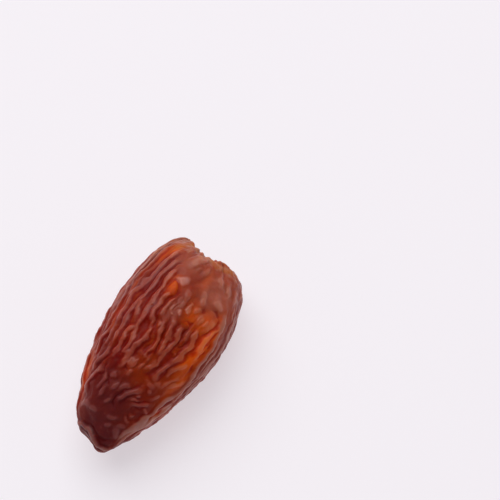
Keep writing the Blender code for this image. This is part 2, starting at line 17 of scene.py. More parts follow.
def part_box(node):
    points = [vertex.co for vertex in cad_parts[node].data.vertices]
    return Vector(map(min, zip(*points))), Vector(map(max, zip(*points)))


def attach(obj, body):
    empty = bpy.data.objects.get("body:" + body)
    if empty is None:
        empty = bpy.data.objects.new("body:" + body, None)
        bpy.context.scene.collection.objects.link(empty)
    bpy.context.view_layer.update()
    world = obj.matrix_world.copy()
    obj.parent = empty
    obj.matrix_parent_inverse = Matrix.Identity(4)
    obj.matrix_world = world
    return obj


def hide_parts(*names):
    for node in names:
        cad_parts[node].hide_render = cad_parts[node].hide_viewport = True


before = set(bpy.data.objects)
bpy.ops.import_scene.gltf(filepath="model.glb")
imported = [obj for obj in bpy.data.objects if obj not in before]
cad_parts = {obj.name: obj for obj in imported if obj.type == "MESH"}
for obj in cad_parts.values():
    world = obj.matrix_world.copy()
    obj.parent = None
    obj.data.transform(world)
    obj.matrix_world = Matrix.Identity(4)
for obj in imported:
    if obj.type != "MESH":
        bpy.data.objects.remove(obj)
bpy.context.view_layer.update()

MM = 0.001

# The body, with the same outline as the frame's date
PROFILE = [
    (0.35, 0.0), (0.15, 1.3), (0.15, 2.6), (0.6, 3.8), (1.8, 4.9), (3.8, 6.0), (6.6, 7.3), (11.5, 9.2),
    (15.5, 10.4), (20.8, 11.8), (26.5, 12.7), (31.9, 12.9), (37.2, 12.4), (42.4, 11.3), (45.1, 10.4),
    (46.8, 9.4), (47.9, 8.1), (48.5, 7.0), (48.7, 6.1), (48.4, 5.3), (47.4, 4.8), (45.8, 4.5), (44.2, 3.8),
    (43.3, 2.2), (43.5, 0.0),
]  # millimetres along the axis from the tip, and out from it
PROFILE_STEPS = 600
RIM = (48.7, 6.1)  # the profile's point where the outside turns into the hollow
RIM_LOBES = [
    (1, 0.36, 1.15, 3.2), (2, 0.2, 2.88, 3.2), (3, 0.33, 3.68, 3.2), (5, 0.09, 2.1, 3.2),
    (8, 0.28, 0.5, 1.3), (13, 0.2, 4.1, 1.0),
]  # each: lobes round the rim, height in millimetres, phase, and reach along the profile in millimetres
STEM_SLANT, STEM_SLANT_FROM = 0.22, (34.0, 48.0)  # the upper half of the stem end lies further back
TIP_SLANT, TIP_SLANT_TO = 0.12, (6.0, 1.5)  # the tip is cut off aslant, with a small nub on it
TIP_MARKS = [(0.40, 1.8, 1.5), (-0.35, -1.9, 1.2)]  # height, place across and half width, in millimetres
THICKNESS = 0.93  # of the width, because the fruit has sagged as it lies
TIP_THICKNESS = 0.74  # the tip is pinched flatter
TIP_PINCH_LENGTH = 9.0
BOW = 0.6  # the axis's sideways bow, towards -Y
BOW_AT, BOW_REACH = 33.0, 13.0
PITCH = math.radians(1.6)  # tip down, as the frame's date lies
SEEN_TURN = 10.6  # turn of the listed folds' middle line, from straight up
SEEN_LEAN = 0.246  # what stands up on that flank is seen that much of its height nearer the stem end
SEEN_LIMIT = 60.0  # degrees across, past which a place is taken as it is
SEEN_ROUNDS = 4
MOST_ASIDE = 0.99  # of the radius, that a place may stand aside
POLE_MARGIN, STEP_ALONG, STEP_ROUND = 0.05, 0.04, 0.5  # for the outward direction: millimetres and degrees
BROAD_SWELLS = [(3, 0.022, 0.6, 0.9), (5, 0.016, 2.1, -1.4), (7, 0.010, 4.0, 1.7)]
# each: swells round the fruit, share of the radius, phase, twist from tip to stem end in radians
SWELL_FROM = (1.0, 8.0)  # millimetres from the tip over which the swells start

# Folds on the flank that lies uppermost, by where they are seen: millimetres along, degrees across
EDGE_FOLDS = [
    [(3.7, 45), (5.8, 44), (8, 48.5), (10.5, 50), (12.5, 52), (15.5, 53), (18, 55), (20.5, 57), (22.5, 57.5),
     (25, 54.5), (29, 52), (34, 52), (37.5, 49), (40, 46)],
    [(2.5, 60), (5, 55), (8.8, 58), (10.9, 62), (13, 66), (15.3, 70), (17.7, 75)],
]
LONG_FOLDS = [
    [(22, -66), (26, -64), (30, -63), (32.5, -67), (35.5, -78)],
    [(35, -65), (39, -63), (42, -58.5), (46.5, -58)],
    [(25.5, -43), (27, -49), (30, -48), (32.5, -51), (35, -46), (38, -44), (41, -43), (44, -41), (46.5, -37)],
    [(20.5, -39), (25, -39), (29, -40), (32.5, -38), (36, -35.5), (39, -36), (42, -34), (45, -31)],
    [(17.5, -34.5), (20.5, -29.5), (23, -31), (25.5, -30), (27, -26), (28.5, -23.5)],
    [(28, -30.5), (29.5, -32), (31, -34.5), (33.5, -35.5)],
    [(20, -21), (23, -21), (26, -23), (28.5, -23.5), (31, -24.5), (35, -26), (39, -26.5), (43, -24.5)],
    [(16.5, -18), (20, -17.5), (23, -14.5), (26, -12.5), (28.5, -13), (31, -17), (34.5, -19.5), (36.5, -17.5),
     (38, -14)],
    [(21.3, -4), (23.9, 0), (25.8, 1.5), (27.8, -1.5), (30, -5), (32, -5)],
    [(23.5, 10), (27, 9), (29, 6), (31, 3.5), (33.5, 1)],
    [(20, 8.5), (21.7, 10.7), (23, 13), (25, 13.5), (28, 14), (31, 12), (33.5, 11)],
    [(18, 23.5), (20, 21.7), (22, 22.3), (24, 23.5), (26, 27), (28, 28.8), (30, 31.5), (32, 29.5),
     (34.5, 29)],
    [(27, 38.5), (29, 40), (31.5, 39), (33.5, 42), (35.5, 46), (38, 48)],
    [(9.2, -45), (9.5, -52), (10.9, -58.5), (12, -53), (13.2, -45), (15, -40), (16.5, -37.5)],
    [(13, -57), (15.2, -53), (16.8, -46), (18.5, -41), (21, -40)],
    [(17, -71), (18.5, -62.5), (21, -61), (22.5, -57), (23.7, -53)],
    [(11.3, 15), (12.2, 22), (12.8, 29), (13.8, 36), (14.5, 41)],
    [(10.2, 0.5), (11.5, 0), (13, 4), (14.5, 8), (16, 14), (17, 18)],
    [(17, 62), (20, 64), (24, 62), (28, 60), (33, 62)],
    [(20, 74), (25, 71), (30, 73), (35, 70), (40, 66)],
]
BROAD_FOLDS = [
    [(34.5, 3), (35.5, 0.5), (38, 0), (41, 2)],
    [(40.3, 46), (40.3, 40), (41, 33), (41.8, 27)],
    [(38.4, 24), (38.8, 19), (40, 15.5), (42, 12.5)],
    [(43.5, 29), (45.5, 28.5), (47, 31)],
    [(40.3, -17), (40.8, -12), (41.8, -5)],
    [(44.5, -16), (46.2, -10), (47, -4), (48.4, 3)],
    [(5, -68), (5.8, -61), (6.6, -54), (7.2, -48), (7.2, -38), (7.6, -31)],
    [(4.3, 40), (5.2, 30), (6.3, 19)],
    [(35, -48), (36.3, -46.5), (37.6, -49)],
    [(41, 52), (43.5, 56), (46, 55)],
]
SHORT_FOLDS = [
    [(32, -58), (32.5, -53), (34.5, -50)],
    [(31.5, -6), (32.2, -10.5), (34, -12), (36, -11), (37.5, -7)],
    [(33.3, -2.5), (34.2, -6), (36, -5.5), (39, -4)],
    [(29.8, 21), (31, 23), (33, 22)],
    [(34, 22.5), (35.5, 23.5), (37, 24)],
    [(33, 32), (34.2, 35.5), (36, 36), (38, 35)],
    [(34.5, 31.5), (36.3, 30)],
    [(19, -51), (21, -48.5), (23.5, -47), (25.3, -44.5)],
    [(10.3, -38), (11, -34), (12.5, -31), (14, -30), (16, -31)],
    [(15.4, -26), (15.8, -21), (16.2, -17.5)],
    [(10, -27), (11.5, -24), (12.5, -21)],
    [(19, -12), (20.3, -12.5), (21.7, -10.5)],
    [(12.3, -6.5), (14.2, -3.5), (15, 0.5), (16.5, 4.5)],
    [(13.8, 14.5), (14.7, 17), (15.6, 19.5)],
    [(12.6, 14), (13.5, 19), (14.2, 24)],
    [(9.7, 21), (8.9, 28), (8.7, 35)],
    [(12.7, 37), (12.2, 42), (12, 46)],
    [(7.3, -5), (7.5, 5), (7.8, 12), (8.3, 17)],
    [(16.5, 70), (17.2, 62), (18.2, 57.5)],
    [(17.9, 35.5), (19.8, 41), (21.7, 46.5), (23, 52)],
    [(17.8, 27.5), (19.2, 32), (20.5, 36.5), (22.2, 40), (23.7, 43.5)],
    [(18.6, 12.5), (18, 18), (17.4, 24), (16.7, 29.7)],
    [(19, 8), (20.5, 7.5), (22.5, 8.5), (24, 11)],
    [(18.5, 1), (20.5, 2), (22, 1.5), (24, 3)],
    [(17.5, 25), (19.5, 27), (21, 26)],
    [(44.5, 64), (44.7, 70), (45, 76)],
    [(38.5, 62), (40, 60), (42, 63)],
    [(37, -73), (40, -71), (43, -73)],
    [(6.5, -42), (6.9, -34), (7, -25), (7.3, -15)],
    [(14, -50), (15.8, -50.5), (17.6, -48.5)],
    [(16.5, -7), (17.8, -5.5), (19, -3)],
    [(18.4, -9.5), (20, -8.2), (21.6, -6), (23, -4.6)],
    [(20.3, 28), (21.6, 30.5), (23.5, 33), (25, 36.5), (26.6, 37)],
    [(14.6, 32), (16.1, 37), (18, 40.5)],
    [(25.5, 41.5), (28, 43), (31, 43)],
    [(6, 22), (6.8, 28), (7.5, 35)],
    [(5.4, 2), (6, 9), (6.3, 15)],
    [(12.3, -14), (13.5, -12), (15, -12.5)],
    [(9, -17), (10, -12.5), (11.2, -9)],
    [(35, 9), (37, 10), (38.5, 8)],
    [(36, 18), (38, 17)],
    [(43, 3), (45, 6), (47, 8)],
    [(42, 40), (44, 43), (46, 41)],
    [(47.8, -22), (48.4, -14)],
    [(47.8, 2), (48.3, -1), (48.6, 6), (48.5, 14), (48.0, 17)],
]
TIP_FOLDS = [
    [(5.6, -100), (5.4, -78), (5.2, -60), (4.8, -43), (4.7, -23), (4.0, -6), (3.4, 16), (3.3, 42), (4.4, 62),
     (6.3, 56)],
    [(1.0, 150), (2.0, 95), (3.6, 80), (4.6, 70)],
]  # here and below the first number is millimetres on the profile from the tip's middle
TIP_CREASE = [(6.4, -45), (6.0, -33), (5.3, -12), (5.3, 12), (5.4, 23), (6.8, 40)]
PINCHES = [
    [(33.2, -2.8), (33.8, -3.6)],
    [(34.3, 3.6), (34.8, 2.2)],
    [(35.2, 9.5), (36, 8.5)],
    [(37.7, 13), (38, 8), (38.5, 5)],
    [(26.3, 20), (27.8, 20.3)],
    [(16.4, 21), (16.6, 28)],
    [(11.4, 22.5), (11.4, 29)],
    [(10.3, 25), (10.3, 35)],
    [(29.8, -9.5), (30.6, -8.5)],
]
CREASES = [
    [(9.7, 3), (9.6, -2), (10.4, -5), (12, -4.2), (13.8, -2.5)],
    [(14.2, 1.5), (15.7, 6)],
    [(26, 31), (28, 34), (30, 36), (32, 35), (34, 40), (36, 44), (38, 43), (39.2, 38), (38.8, 32)],
    [(24, 18), (26, 17), (27.5, 17), (28.5, 21), (29.5, 25), (32, 24.5)],
    [(28, 17), (31, 18), (33.8, 18), (34.5, 12), (34.2, 7)],
    [(9.2, 38), (9.2, 32), (9.8, 25), (10.6, 22)],
    [(13.1, 10), (13.6, 16), (14.5, 19.8), (16, 20)],
    [(23, 47), (26, 46), (30, 46), (33.5, 48)],
    [(33, -38), (36, -39), (38, -41), (42, -40)],
    [(32.5, -31.5), (36, -30), (38, -29), (39, -31), (43, -29)],
    [(27.5, -9.5), (31, -13.5), (35, -15.5), (37, -11.5), (38.5, -9.5), (40, -13), (40, -18), (38.5, -21),
     (36.8, -22.3)],
    [(24, 7), (27, 3.8), (30, 0.5), (33, -1.5)],
    [(17.8, -11), (18.3, -13.5)],
    [(14.5, -34), (17, -32.5), (19, -31.5)],
    [(23, -35), (26, -34.5)],
    [(18.6, 11), (20.2, 14.8), (22.3, 17.5)],
    [(9.3, -31), (10.8, -29), (12, -28.5)],
    [(21, -55.5), (22.5, -51.5)],
    [(37.7, 26), (37.2, 22)],
    [(12.8, -27), (13.3, -23), (14.5, -27), (15.2, -25)],
]
EDGE_SIZE = (0.50, 0.80)  # height and half width of each kind, in millimetres
LONG_SIZE = (0.36, 0.74)
FAR_SIZE = (0.30, 0.80)
BROAD_SIZE = (0.34, 1.05)
SHORT_SIZE = (0.30, 0.62)
TIP_SIZE = (0.46, 0.64)
PINCH_SIZE = (0.28, 0.45)
CREASE_SIZE = (0.22, 0.40)
NOTCH_SIZE = (0.55, 0.62)

# Folds of the other flanks, laid in rows by a rule
FAR_SEED = 29
FAR_FROM, FAR_TO, FAR_ROWS = 70.0, 268.0, 22  # degrees round from SEEN_TURN, first row and last
FAR_TIP, FAR_STEM = 3.5, 46.5
FAR_STAGGER = [(5.0, 8.0), (0.0, 2.0)]  # how much later a row starts, for even rows and for odd ones
FAR_LEAST, FAR_END_PLAY = 4.0, (-1.5, 0.5)  # room that a last fold needs, and how far from FAR_STEM it ends
FAR_BREAK = (9.0, 20.0)  # length of one fold in a row, shortest and longest
FAR_GAP, FAR_POINT_STEP = 1.1, 2.2
FAR_WAVE = (9.0, 15.0)  # length of a row's own bends, shortest and longest
FAR_WANDER, FAR_JITTER = 2.6, 0.9  # degrees that a fold bends aside, by its row's bends and by itself
FAR_DRIFT = 0.45  # share of the rows' spacing that a fold may run aslant

# Notches that run over the rim into the hollow
NOTCHES = 13
NOTCH_OUT, NOTCH_OUT_PLAY = 4.4, (0.4, 1.2)  # millimetres out from the rim, and the share that one has
NOTCH_IN, NOTCH_IN_PLAY = 3.6, (0.6, 1.0)
NOTCH_SPACING_PLAY = 0.32  # share of the spacing that one may stand aside
NOTCH_LEAN, NOTCH_LEAN_AT_RIM = 9.0, 0.3  # degrees at its inner end, and the share at the rim

# Lumps between the folds, and the torn flesh in the hollow
LUMP_SEED, LUMP_WAVES, LUMP_LENGTHS, LUMP_HEIGHT = 11, 18, (3.0, 8.0), 0.14
TORN_SEED, TORN_WAVES, TORN_LENGTHS, TORN_HEIGHT = 5, 14, (1.2, 2.8), 0.60
TORN_FROM, TORN_FULL = 1.0, 3.0  # millimetres past the rim
TORN_SOFTENS = 0.5  # share of the skin's relief that is lost where the flesh is torn
POLE_FADE = 1.2  # millimetres at both ends of the profile over which the relief starts

# How uneven the folds are
CRINKLES = [(61, 0.17, (1.3, 2.8)), (67, 0.36, (3.0, 7.0))]  # each: seed, reach and lengths in millimetres
CRINKLE_WAVES = 12
CALM_SPOTS = [(36.0, -42.0, 13.0, 24.0, 0.85), (4.0, 10.0, 5.0, 80.0, 0.5)]
# each: millimetres along, degrees across, half extent of both, share of the crinkling that it takes away
WIDTH_SEED, WIDTH_LENGTHS, WIDTH_PLAY = 53, (3.0, 8.0), 0.2
WAVE_GAIN = 1.2  # brings the mean of many waves near to 1 at its highest

MERGE_POWER = 3.0  # how folds that meet merge: one alone keeps its height, and two give 1.26 times it
FLAT_TOP = 1.4  # 1 gives a fold a plain bell for its section, and more a flatter top with steeper sides
LINE_STEP = 0.7
END_TAPER, END_SHARE = 2.4, 0.35  # millimetres over which a fold rises at its ends, and its height there
TAPER_FITS = 2.5  # a fold is at least this many tapers long, so a short one tapers faster
PLANE_PER_DEGREE = 0.2  # millimetres that a degree stands for, where a fold's curve is drawn

# Where the fruit lies
PRESS = 0.62  # millimetres of the lowest part that are pressed flat
UNDERSIDE_RELIEF = 0.25  # share of the folds' height that is left where the fruit is pressed
UNDERSIDE_FADE = (0.8, 3.2)  # millimetres above the lowest place

# What only the fine skin has
CALM_FLATTENS = 0.3  # share of the folds' height that the calm spots take away
FOOT_DEPTH, FOOT_WIDTH, FOOT_FROM = 0.06, 1.6, (0.1, 0.4)  # the groove along both sides of each fold
FINE_FOLDS, FINE_SEED = 66, 41  # hair-fine wrinkles round the fruit
FINE_HEIGHT = 0.10
FINE_BENDS = [(2.6, (5.0, 12.0)), (0.9, (2.0, 4.0))]  # each: radians aside, and lengths of the bends
FINE_SHARPNESS, FINE_LEVEL = 1.5, 0.35  # how sharp a top is, with 1 plain, and the share of it that is sunk
FINE_FROM = (8.0, 15.0)  # where along the fruit they start
FINE_PATCH_SEED, FINE_PATCH_WAVES = 43, 14
FINE_PATCH_LENGTHS, FINE_PATCH_SPAN = (4.0, 9.0), (-0.5, 0.8)  # where lumps that long stand that high
PIMPLE_SEED, PIMPLE_WAVES = 43, 24
PIMPLE_HEIGHT, PIMPLE_LENGTHS = 0.045, (1.0, 2.2)
SAG_ROUND = 0.12  # millimetres over which the pressed flat rounds up into the flank

# Where the masks that colours follow start and are full
CREST_SPAN, EDGE_SHEEN_SPAN = (0.35, 0.95), (0.3, 0.9)  # shares of a fold's height
CREASE_SPAN, NOTCH_SHARE = (0.2, 0.8), 0.4  # shares of a crease's depth, and how much a notch counts as one
TIP_SHEEN_SHARE = 0.62  # how much of the edge fold's pale skin and painted sheen the tip's folds have
RIM_BAND_OUT, RIM_BAND_IN = (-4.4, -1.8), (1.4, 0.5)  # millimetres past the rim, outer side and inner side
RIM_SEED, RIM_STRAY, RIM_STRAY_LENGTHS = 97, 0.9, (1.5, 4.0)  # how far that band strays, in millimetres

# Colours by where they are seen: millimetres along, degrees across, half extent of both, strength
# Painted glow: orange where thin flesh on the flanks and edges looks lit through
AMBER_GLOW_SPOTS = [
    (31, 42, 9, 11, 1), (22, 49, 6, 7, 0.6), (36, 30, 4, 9, 0.7),
    (37, -58, 6, 4, 0.6), (44, -52, 4, 5, 0.8), (45.5, -44, 1.8, 5, 0.9),
    (11.5, -78, 5, 9, 0.5), (3.8, -50, 1.6, 9, 0.7), (12.5, 68, 3, 8, 0.5),
    (36, 15, 3, 10, 0.7), (44, 12, 3, 6, 0.6),
    (39, -17, 2.5, 7, 0.7), (28, -57, 4, 5, 0.5), (28, 5, 7, 30, 0.15),
]
# Painted glow: yellow-orange where thin skin near the stem end's rim looks lit through
HONEY_GLOW_SPOTS = [(47.2, -46, 1.2, 8, 1), (48.4, 36, 0.5, 17, 1), (43.5, -76, 4, 8, 0.8)]
LOOSE_SPOTS = [
    (42.5, 30, 5, 26, 1), (45.5, -14, 4, 24, 0.8), (38, -80, 9, 8, 0.8),
    (34, -3, 2.5, 8, 0.5), (48.2, -18, 1, 8, 1), (48.8, 6, 1, 10, 0.9),
    (48, -62, 1.3, 16, 0.8), (46, 74, 3, 12, 0.9),
]
DARK_REACH, DARK_BLUR, DARK_STRAY = 14.5, 9.0, 2.0  # millimetres that the dark tip goes, blurs and strays
DARK_MIDDLE, DARK_MOST_ASIDE = -12.0, 70.0  # degrees across
DARK_BEND = 0.0024  # how fast it goes less far aside, by the square of the degrees from its middle
# Painted shade: darker patches on both flanks
PAINTED_SHADE_SPOTS = [
    (17, -50, 8, 11, 0.6), (38, -62, 14, 15, 0.5), (32, 78, 12, 15, 0.5),
]
# Painted highlights: pale pink on the crests at these places
GLINT_SPOTS = [(41.2, -10, 1.6, 10, 1), (34.6, 3, 2.2, 9, 1)]
STRAY_SEED, STRAY_LENGTHS = 71, (9.0, 20.0)  # lumps that the dark tip's end follows
PATCH_SEED, PATCH_LENGTHS = 73, (5.0, 11.0)  # lumps that colour the unseen flanks in patches
LOOSE_PATCH_SPAN, AMBER_PATCH_SPAN = (0.1, 0.7), (0.1, 0.8)  # how high and how low they stand there
UNSEEN_FROM, UNSEEN_SHARE, UNSEEN_LOOSE_FROM = (85, 110), 0.35, (14, 20)  # degrees, share and millimetres
FLANK_PAST_EDGE, FLANK_TO, FLANK_FROM = (-2.0, 1.5), (100, 66), (13.0, 24.0)  # degrees twice, millimetres
FLANK_SHARE = 0.5  # how loose the skin is on the right flank, past the edge fold
MASK_WAVES = 12

# Fibres in the hollow: drawn between the two values for each, in millimetres and degrees
FIBRE_SEED, FIBRES, FIBRE_STEPS, FIBRE_SIDES = 83, 46, 14, 7
FIBRE_X = [(42.3, 42.9), (44.6, 45.6), (45.2, 47.0)]  # at the root, the bend and the end
FIBRE_OUT = [(0.3, 3.4), (0.9, 3.6), (1.6, 4.5)]
FIBRE_TURNS, FIBRE_TWIST = (-180.0, 180.0), (-60.0, 60.0)
FIBRE_TWIST_SHARES = [(0.3,), (0.6,), (1.0,)]
FIBRE_THICKNESS = (0.14, 0.30)  # at the root
FIBRE_TIP_SHARE = 0.35
FIBRE_WAVER = 0.35  # how far a fibre strays from its curve
FIBRE_WAVER_WAVES, FIBRE_WAVER_LENGTHS = 8, (2.0, 5.0)
FIBRE_ACROSS = (0.0, 0.3, 1.0)  # the direction that a fibre's rings are turned from

# The grid
ROWS = 330
ROUND = 288
MORE_ON_TOP = 0.38  # how much closer the columns lie on the uppermost flank

# Colours as a screen shows them, red, green and blue from 0 to 255
# Valley tones: the deeper red of the flesh in the creases, darkened as painted shade there
VALLEY_RED_AND_SHADE = {"red": (118, 4, 0), "orange": (208, 58, 0), "brown": (84, 10, 10), "pale": (146, 56, 36)}
FLAT = {"red": (120, 19, 6), "orange": (236, 96, 0), "brown": (98, 29, 29), "pale": (172, 88, 66)}
# Ridge tones: the crests' own paler, dry bloom, with a painted sheen of light on top of it
RIDGE_BLOOM_AND_SHEEN = {"red": (158, 68, 52), "orange": (222, 118, 56), "brown": (124, 60, 58), "pale": (194, 124, 102)}
# A pale line of paler skin and painted sheen on the edge fold's top; painted highlights on crests; a painted
# glow of light through thin skin near the rim
EDGE_SHEEN_COLOUR, GLINT_COLOUR, HONEY_GLOW_COLOUR = (164, 106, 90), (208, 140, 124), (196, 108, 32)
# The second: painted sheen where the skin turns away
FRECKLE_COLOUR, GRAZING_SHEEN_COLOUR = (170, 96, 76), (178, 112, 92)
FRAYED_COLOUR, GOLDEN_COLOUR = (186, 132, 110), (196, 116, 48)
FLESH_COLOUR, FLESH_LUMP_COLOUR, FLESH_SCRAP_COLOUR = (82, 18, 8), (156, 60, 16), (188, 126, 76)
STRAW_COLOUR, STRAW_PALE_COLOUR, STREAK_COLOUR = (150, 104, 72), (214, 178, 142), (128, 66, 36)
RIDGE_BLOOM_AND_SHEEN_SHARE, EDGE_SHEEN_SHARE, GLINT_SHARE, HONEY_GLOW_SHARE = 0.75, 0.6, 0.6, 0.6

# Noise patterns: scale per metre, detail, where the noise starts to count and counts in full, and the
# pattern's values there, which are 0 and 1 if not given
ORANGE_PATCHES = (180, 3, 0.35, 0.65, 0.0, 0.15)
FRECKLES = (700, 2, 0.55, 0.75, 0.0, 0.12)
TATTERS = (650, 3, 0.36, 0.64, 0.15, 0.7)
GOLDEN_PATCHES = (260, 2, 0.5, 0.66)
FLESH_LUMPS = (420, 2, 0.35, 0.6)
FLESH_SCRAPS = (900, 2, 0.58, 0.72)
STREAKS = (500, 2, 0.45, 0.65, 0.0, 0.7)
GRAIN_SCALE, GRAIN_DETAIL, GRAIN_ROUGHNESS, GRAIN_SHARE = 1400, 4, 0.6, 0.3
CREPE_DETAIL, CREPE_ROUGHNESS, CREPE_SHARE, CREPE_STRETCH = 5, 0.55, 0.7, (0.45, 1.0, 1.0)
BUMP_STRENGTH = 0.6
SKIN_GRAIN = {"Scale": 1100.0, "Distance": 0.00022}  # per metre, and metres high
FIBRE_GRAIN = {"Scale": 2600.0, "Distance": 0.00004}

# Finish of the skin. Each four: what it follows, from and to, and its own values there
GRAZING_SHEEN_SPAN = (0.75, 1.0, 0.0, 0.25)  # painted sheen: how pale the skin is where it turns away, in place of room light reflected at grazing angles
ROUGH, TORN_WET = (0.3, 0.7, 0.36, 0.48), 0.12  # roughness by the grain, and how much less on torn flesh
WAX, LOOSE_WAX, DARK_WAX = (0.1, 0.9, 0.06, 0.42), 0.35, (0.0, 1.0, 1.0, 0.5)  # coat by crest, loose and dark
SKIN_SHADER = {
    "Subsurface Weight": 0.65, "Subsurface Radius": (1.0, 0.32, 0.12), "Subsurface Scale": 0.0015,
    "IOR": 1.42, "Specular IOR Level": 0.10, "Coat Roughness": 0.30,
}
FIBRE_SHADER = {"Roughness": 0.7, "Specular IOR Level": 0.2}

# Floor, room and light
FLOOR_HALF = 3.0  # metres
FLOOR_SHADER = {
    "Base Color": (0.40, 0.39, 0.40, 1.0), "Roughness": 0.55,
    "Emission Color": (1.0, 0.95, 1.0, 1.0), "Emission Strength": 0.56,
}
ROOM_LOW, ROOM_HIGH = (0.44, 0.43, 0.46, 1.0), (0.18, 0.17, 0.19, 1.0)
ROOM_SPAN = (0.05, 0.75)  # how high a look goes up, from the floor's edge at 0 to overhead at 1
BACKDROP = (0.86, 0.83, 0.87, 1.0)  # what is seen past the floor's far edge, as pale as the floor
LIGHT_FROM, LIGHT_AWAY = (0.36, 0.36, 0.86), 3.0
LIGHT_SIDE, LIGHT_POWER = 3.2, 77.0  # metres and watts

# The photograph's view
PHOTO_SIDE = 500
FRUIT_MIDDLE = (154.0, 346.5)  # pixels
PIXELS_PER_MM = 4.62
AZIMUTH, ELEVATION = math.radians(-59.0), math.radians(70.0)
LENS, SENSOR = 150.0, 36.0
NEAREST_SEEN = 0.01


def smooth_line(points, before, after, count):
    """Cubic curve through the points, each slope taken from its two neighbours, as count points."""
    knots = np.vstack([before, points, after]).astype(float)
    at = np.concatenate([[0.0], np.cumsum(np.linalg.norm(np.diff(knots, axis=0), axis=1))])
    slopes = (knots[2:] - knots[:-2]) / (at[2:] - at[:-2])[:, None]
    at, knots = at[1:-1], knots[1:-1]
    where = np.linspace(at[0], at[-1], count)
    i = np.clip(np.searchsorted(at, where, side="right") - 1, 0, len(at) - 2)
    gap = (at[i + 1] - at[i])[:, None]
    t = (where - at[i])[:, None] / gap
    return (
        knots[i] * (1 + 2 * t) * (1 - t) ** 2
        + knots[i + 1] * t * t * (3 - 2 * t)
        + slopes[i] * gap * t * (1 - t) ** 2
        - slopes[i + 1] * gap * t * t * (1 - t)
    )


def smooth_step(low, high, value):
    """0 below low, 1 above high, and 3t^2 - 2t^3 between them. With low above high it falls instead."""
    t = np.clip((value - low) / (high - low), 0.0, 1.0)
    return t * t * (3 - 2 * t)


class Body:
    """The fruit without its folds. along is millimetres on the profile from the tip's middle."""

    def __init__(self):
        mirrored = [(x, -r) for x, r in (PROFILE[1], PROFILE[-2])]
        outline = smooth_line(PROFILE, mirrored[:1], mirrored[1:], PROFILE_STEPS)
        self.outline = outline
        self.at = np.concatenate([[0.0], np.cumsum(np.linalg.norm(np.diff(outline, axis=0), axis=1))])
        self.length = self.at[-1]
        self.rim_index = int(np.argmin(np.linalg.norm(outline - RIM, axis=1)))
        self.rim = self.at[self.rim_index]

    def along_of(self, x):
        """Distance on the profile of the outside's point x millimetres from the tip."""
        outside = self.outline[: self.rim_index, 0]
        first = int(np.argmin(outside))
        return np.interp(x, outside[first:], self.at[first : self.rim_index])

    def radius(self, x):
        return np.interp(self.along_of(x), self.at, self.outline[:, 1])

    def seen(self, x, side):
        """Place of what is seen x millimetres along and side degrees across the flank's outline.

        The distance across is the outline's half width times the sine of side, and the same distance is
        the radius at the place's own x times the sine of its turn. A few rounds settle the two.
        """
        inner = np.clip(side, -SEEN_LIMIT, SEEN_LIMIT)
        across = self.radius(x) * np.sin(np.radians(inner))
        here = x
        for _ in range(SEEN_ROUNDS):
            radius = self.radius(here)
            turn = np.arcsin(np.clip(across / radius, -MOST_ASIDE, MOST_ASIDE))
            slant = STEM_SLANT * smooth_step(*STEM_SLANT_FROM, here)
            here = x - (SEEN_LEAN - slant) * radius * np.cos(turn)
        return self.along_of(here), SEEN_TURN + np.degrees(turn) + side - inner

    def point(self, along, turn):
        """Ring of the profile's radius, swollen a little, flattened, bowed and lobed at the rim."""
        x = np.interp(along, self.at, self.outline[:, 0])
        r = np.interp(along, self.at, self.outline[:, 1])
        a = np.radians(turn)
        length = self.outline[self.rim_index, 0]
        swell = sum(
            share * np.cos(count * a + phase + twist * x / length)
            for count, share, phase, twist in BROAD_SWELLS
        )
        r = r * (1 + swell * smooth_step(*SWELL_FROM, x))
        thick = TIP_THICKNESS + (THICKNESS - TIP_THICKNESS) * smooth_step(0.0, TIP_PINCH_LENGTH, x)
        bow = BOW * np.exp(-(((x - BOW_AT) / BOW_REACH) ** 2))
        lift = sum(
            height * np.cos(count * a + phase) * np.exp(-(((along - self.rim) / reach) ** 2))
            for count, height, phase, reach in RIM_LOBES
        )
        across = -r * np.sin(a)
        standing = r * np.cos(a - math.radians(SEEN_TURN))
        lift = lift - STEM_SLANT * standing * smooth_step(*STEM_SLANT_FROM, x)
        marks = sum(
            height * np.exp(-(((across - place) / half) ** 2)) for height, place, half in TIP_MARKS
        )
        lift = lift + (TIP_SLANT * across + marks) * smooth_step(*TIP_SLANT_TO, x)
        return np.stack([x + lift, across - bow, r * np.cos(a) * thick], axis=-1)

    def normal(self, along, turn):
        """Outward direction, from the cross product of two short steps on the body."""
        inside = np.clip(along, POLE_MARGIN, self.length - POLE_MARGIN)
        down = self.point(inside + STEP_ALONG, turn) - self.point(inside - STEP_ALONG, turn)
        aside = self.point(inside, turn + STEP_ROUND) - self.point(inside, turn - STEP_ROUND)
        out = np.cross(aside, down)
        return out / np.linalg.norm(out, axis=-1, keepdims=True)


def line_on_body(body, places, from_x=True):
    """A fold's curve on the body, and the share of its full height at each of the curve's points."""
    flat = np.asarray(places, float) * (1.0, PLANE_PER_DEGREE)
    length = np.linalg.norm(np.diff(flat, axis=0), axis=1).sum()
    count = max(4, int(length / LINE_STEP) + 1)
    curve = smooth_line(flat, [2 * flat[0] - flat[1]], [2 * flat[-1] - flat[-2]], count)
    along, side = curve[:, 0], curve[:, 1] / PLANE_PER_DEGREE
    turn = side + SEEN_TURN
    if from_x:
        along, turn = body.seen(along, side)
    points = body.point(along, turn)
    at = np.concatenate([[0.0], np.cumsum(np.linalg.norm(np.diff(points, axis=0), axis=1))])
    taper = min(END_TAPER, at[-1] / TAPER_FITS)
    rise = (1 - END_SHARE) * smooth_step(0.0, taper, at)
    return points, END_SHARE + rise * smooth_step(0.0, taper, at[-1] - at)


def lines_on_body(body, folds, from_x=True):
    return [line_on_body(body, fold, from_x) for fold in folds]


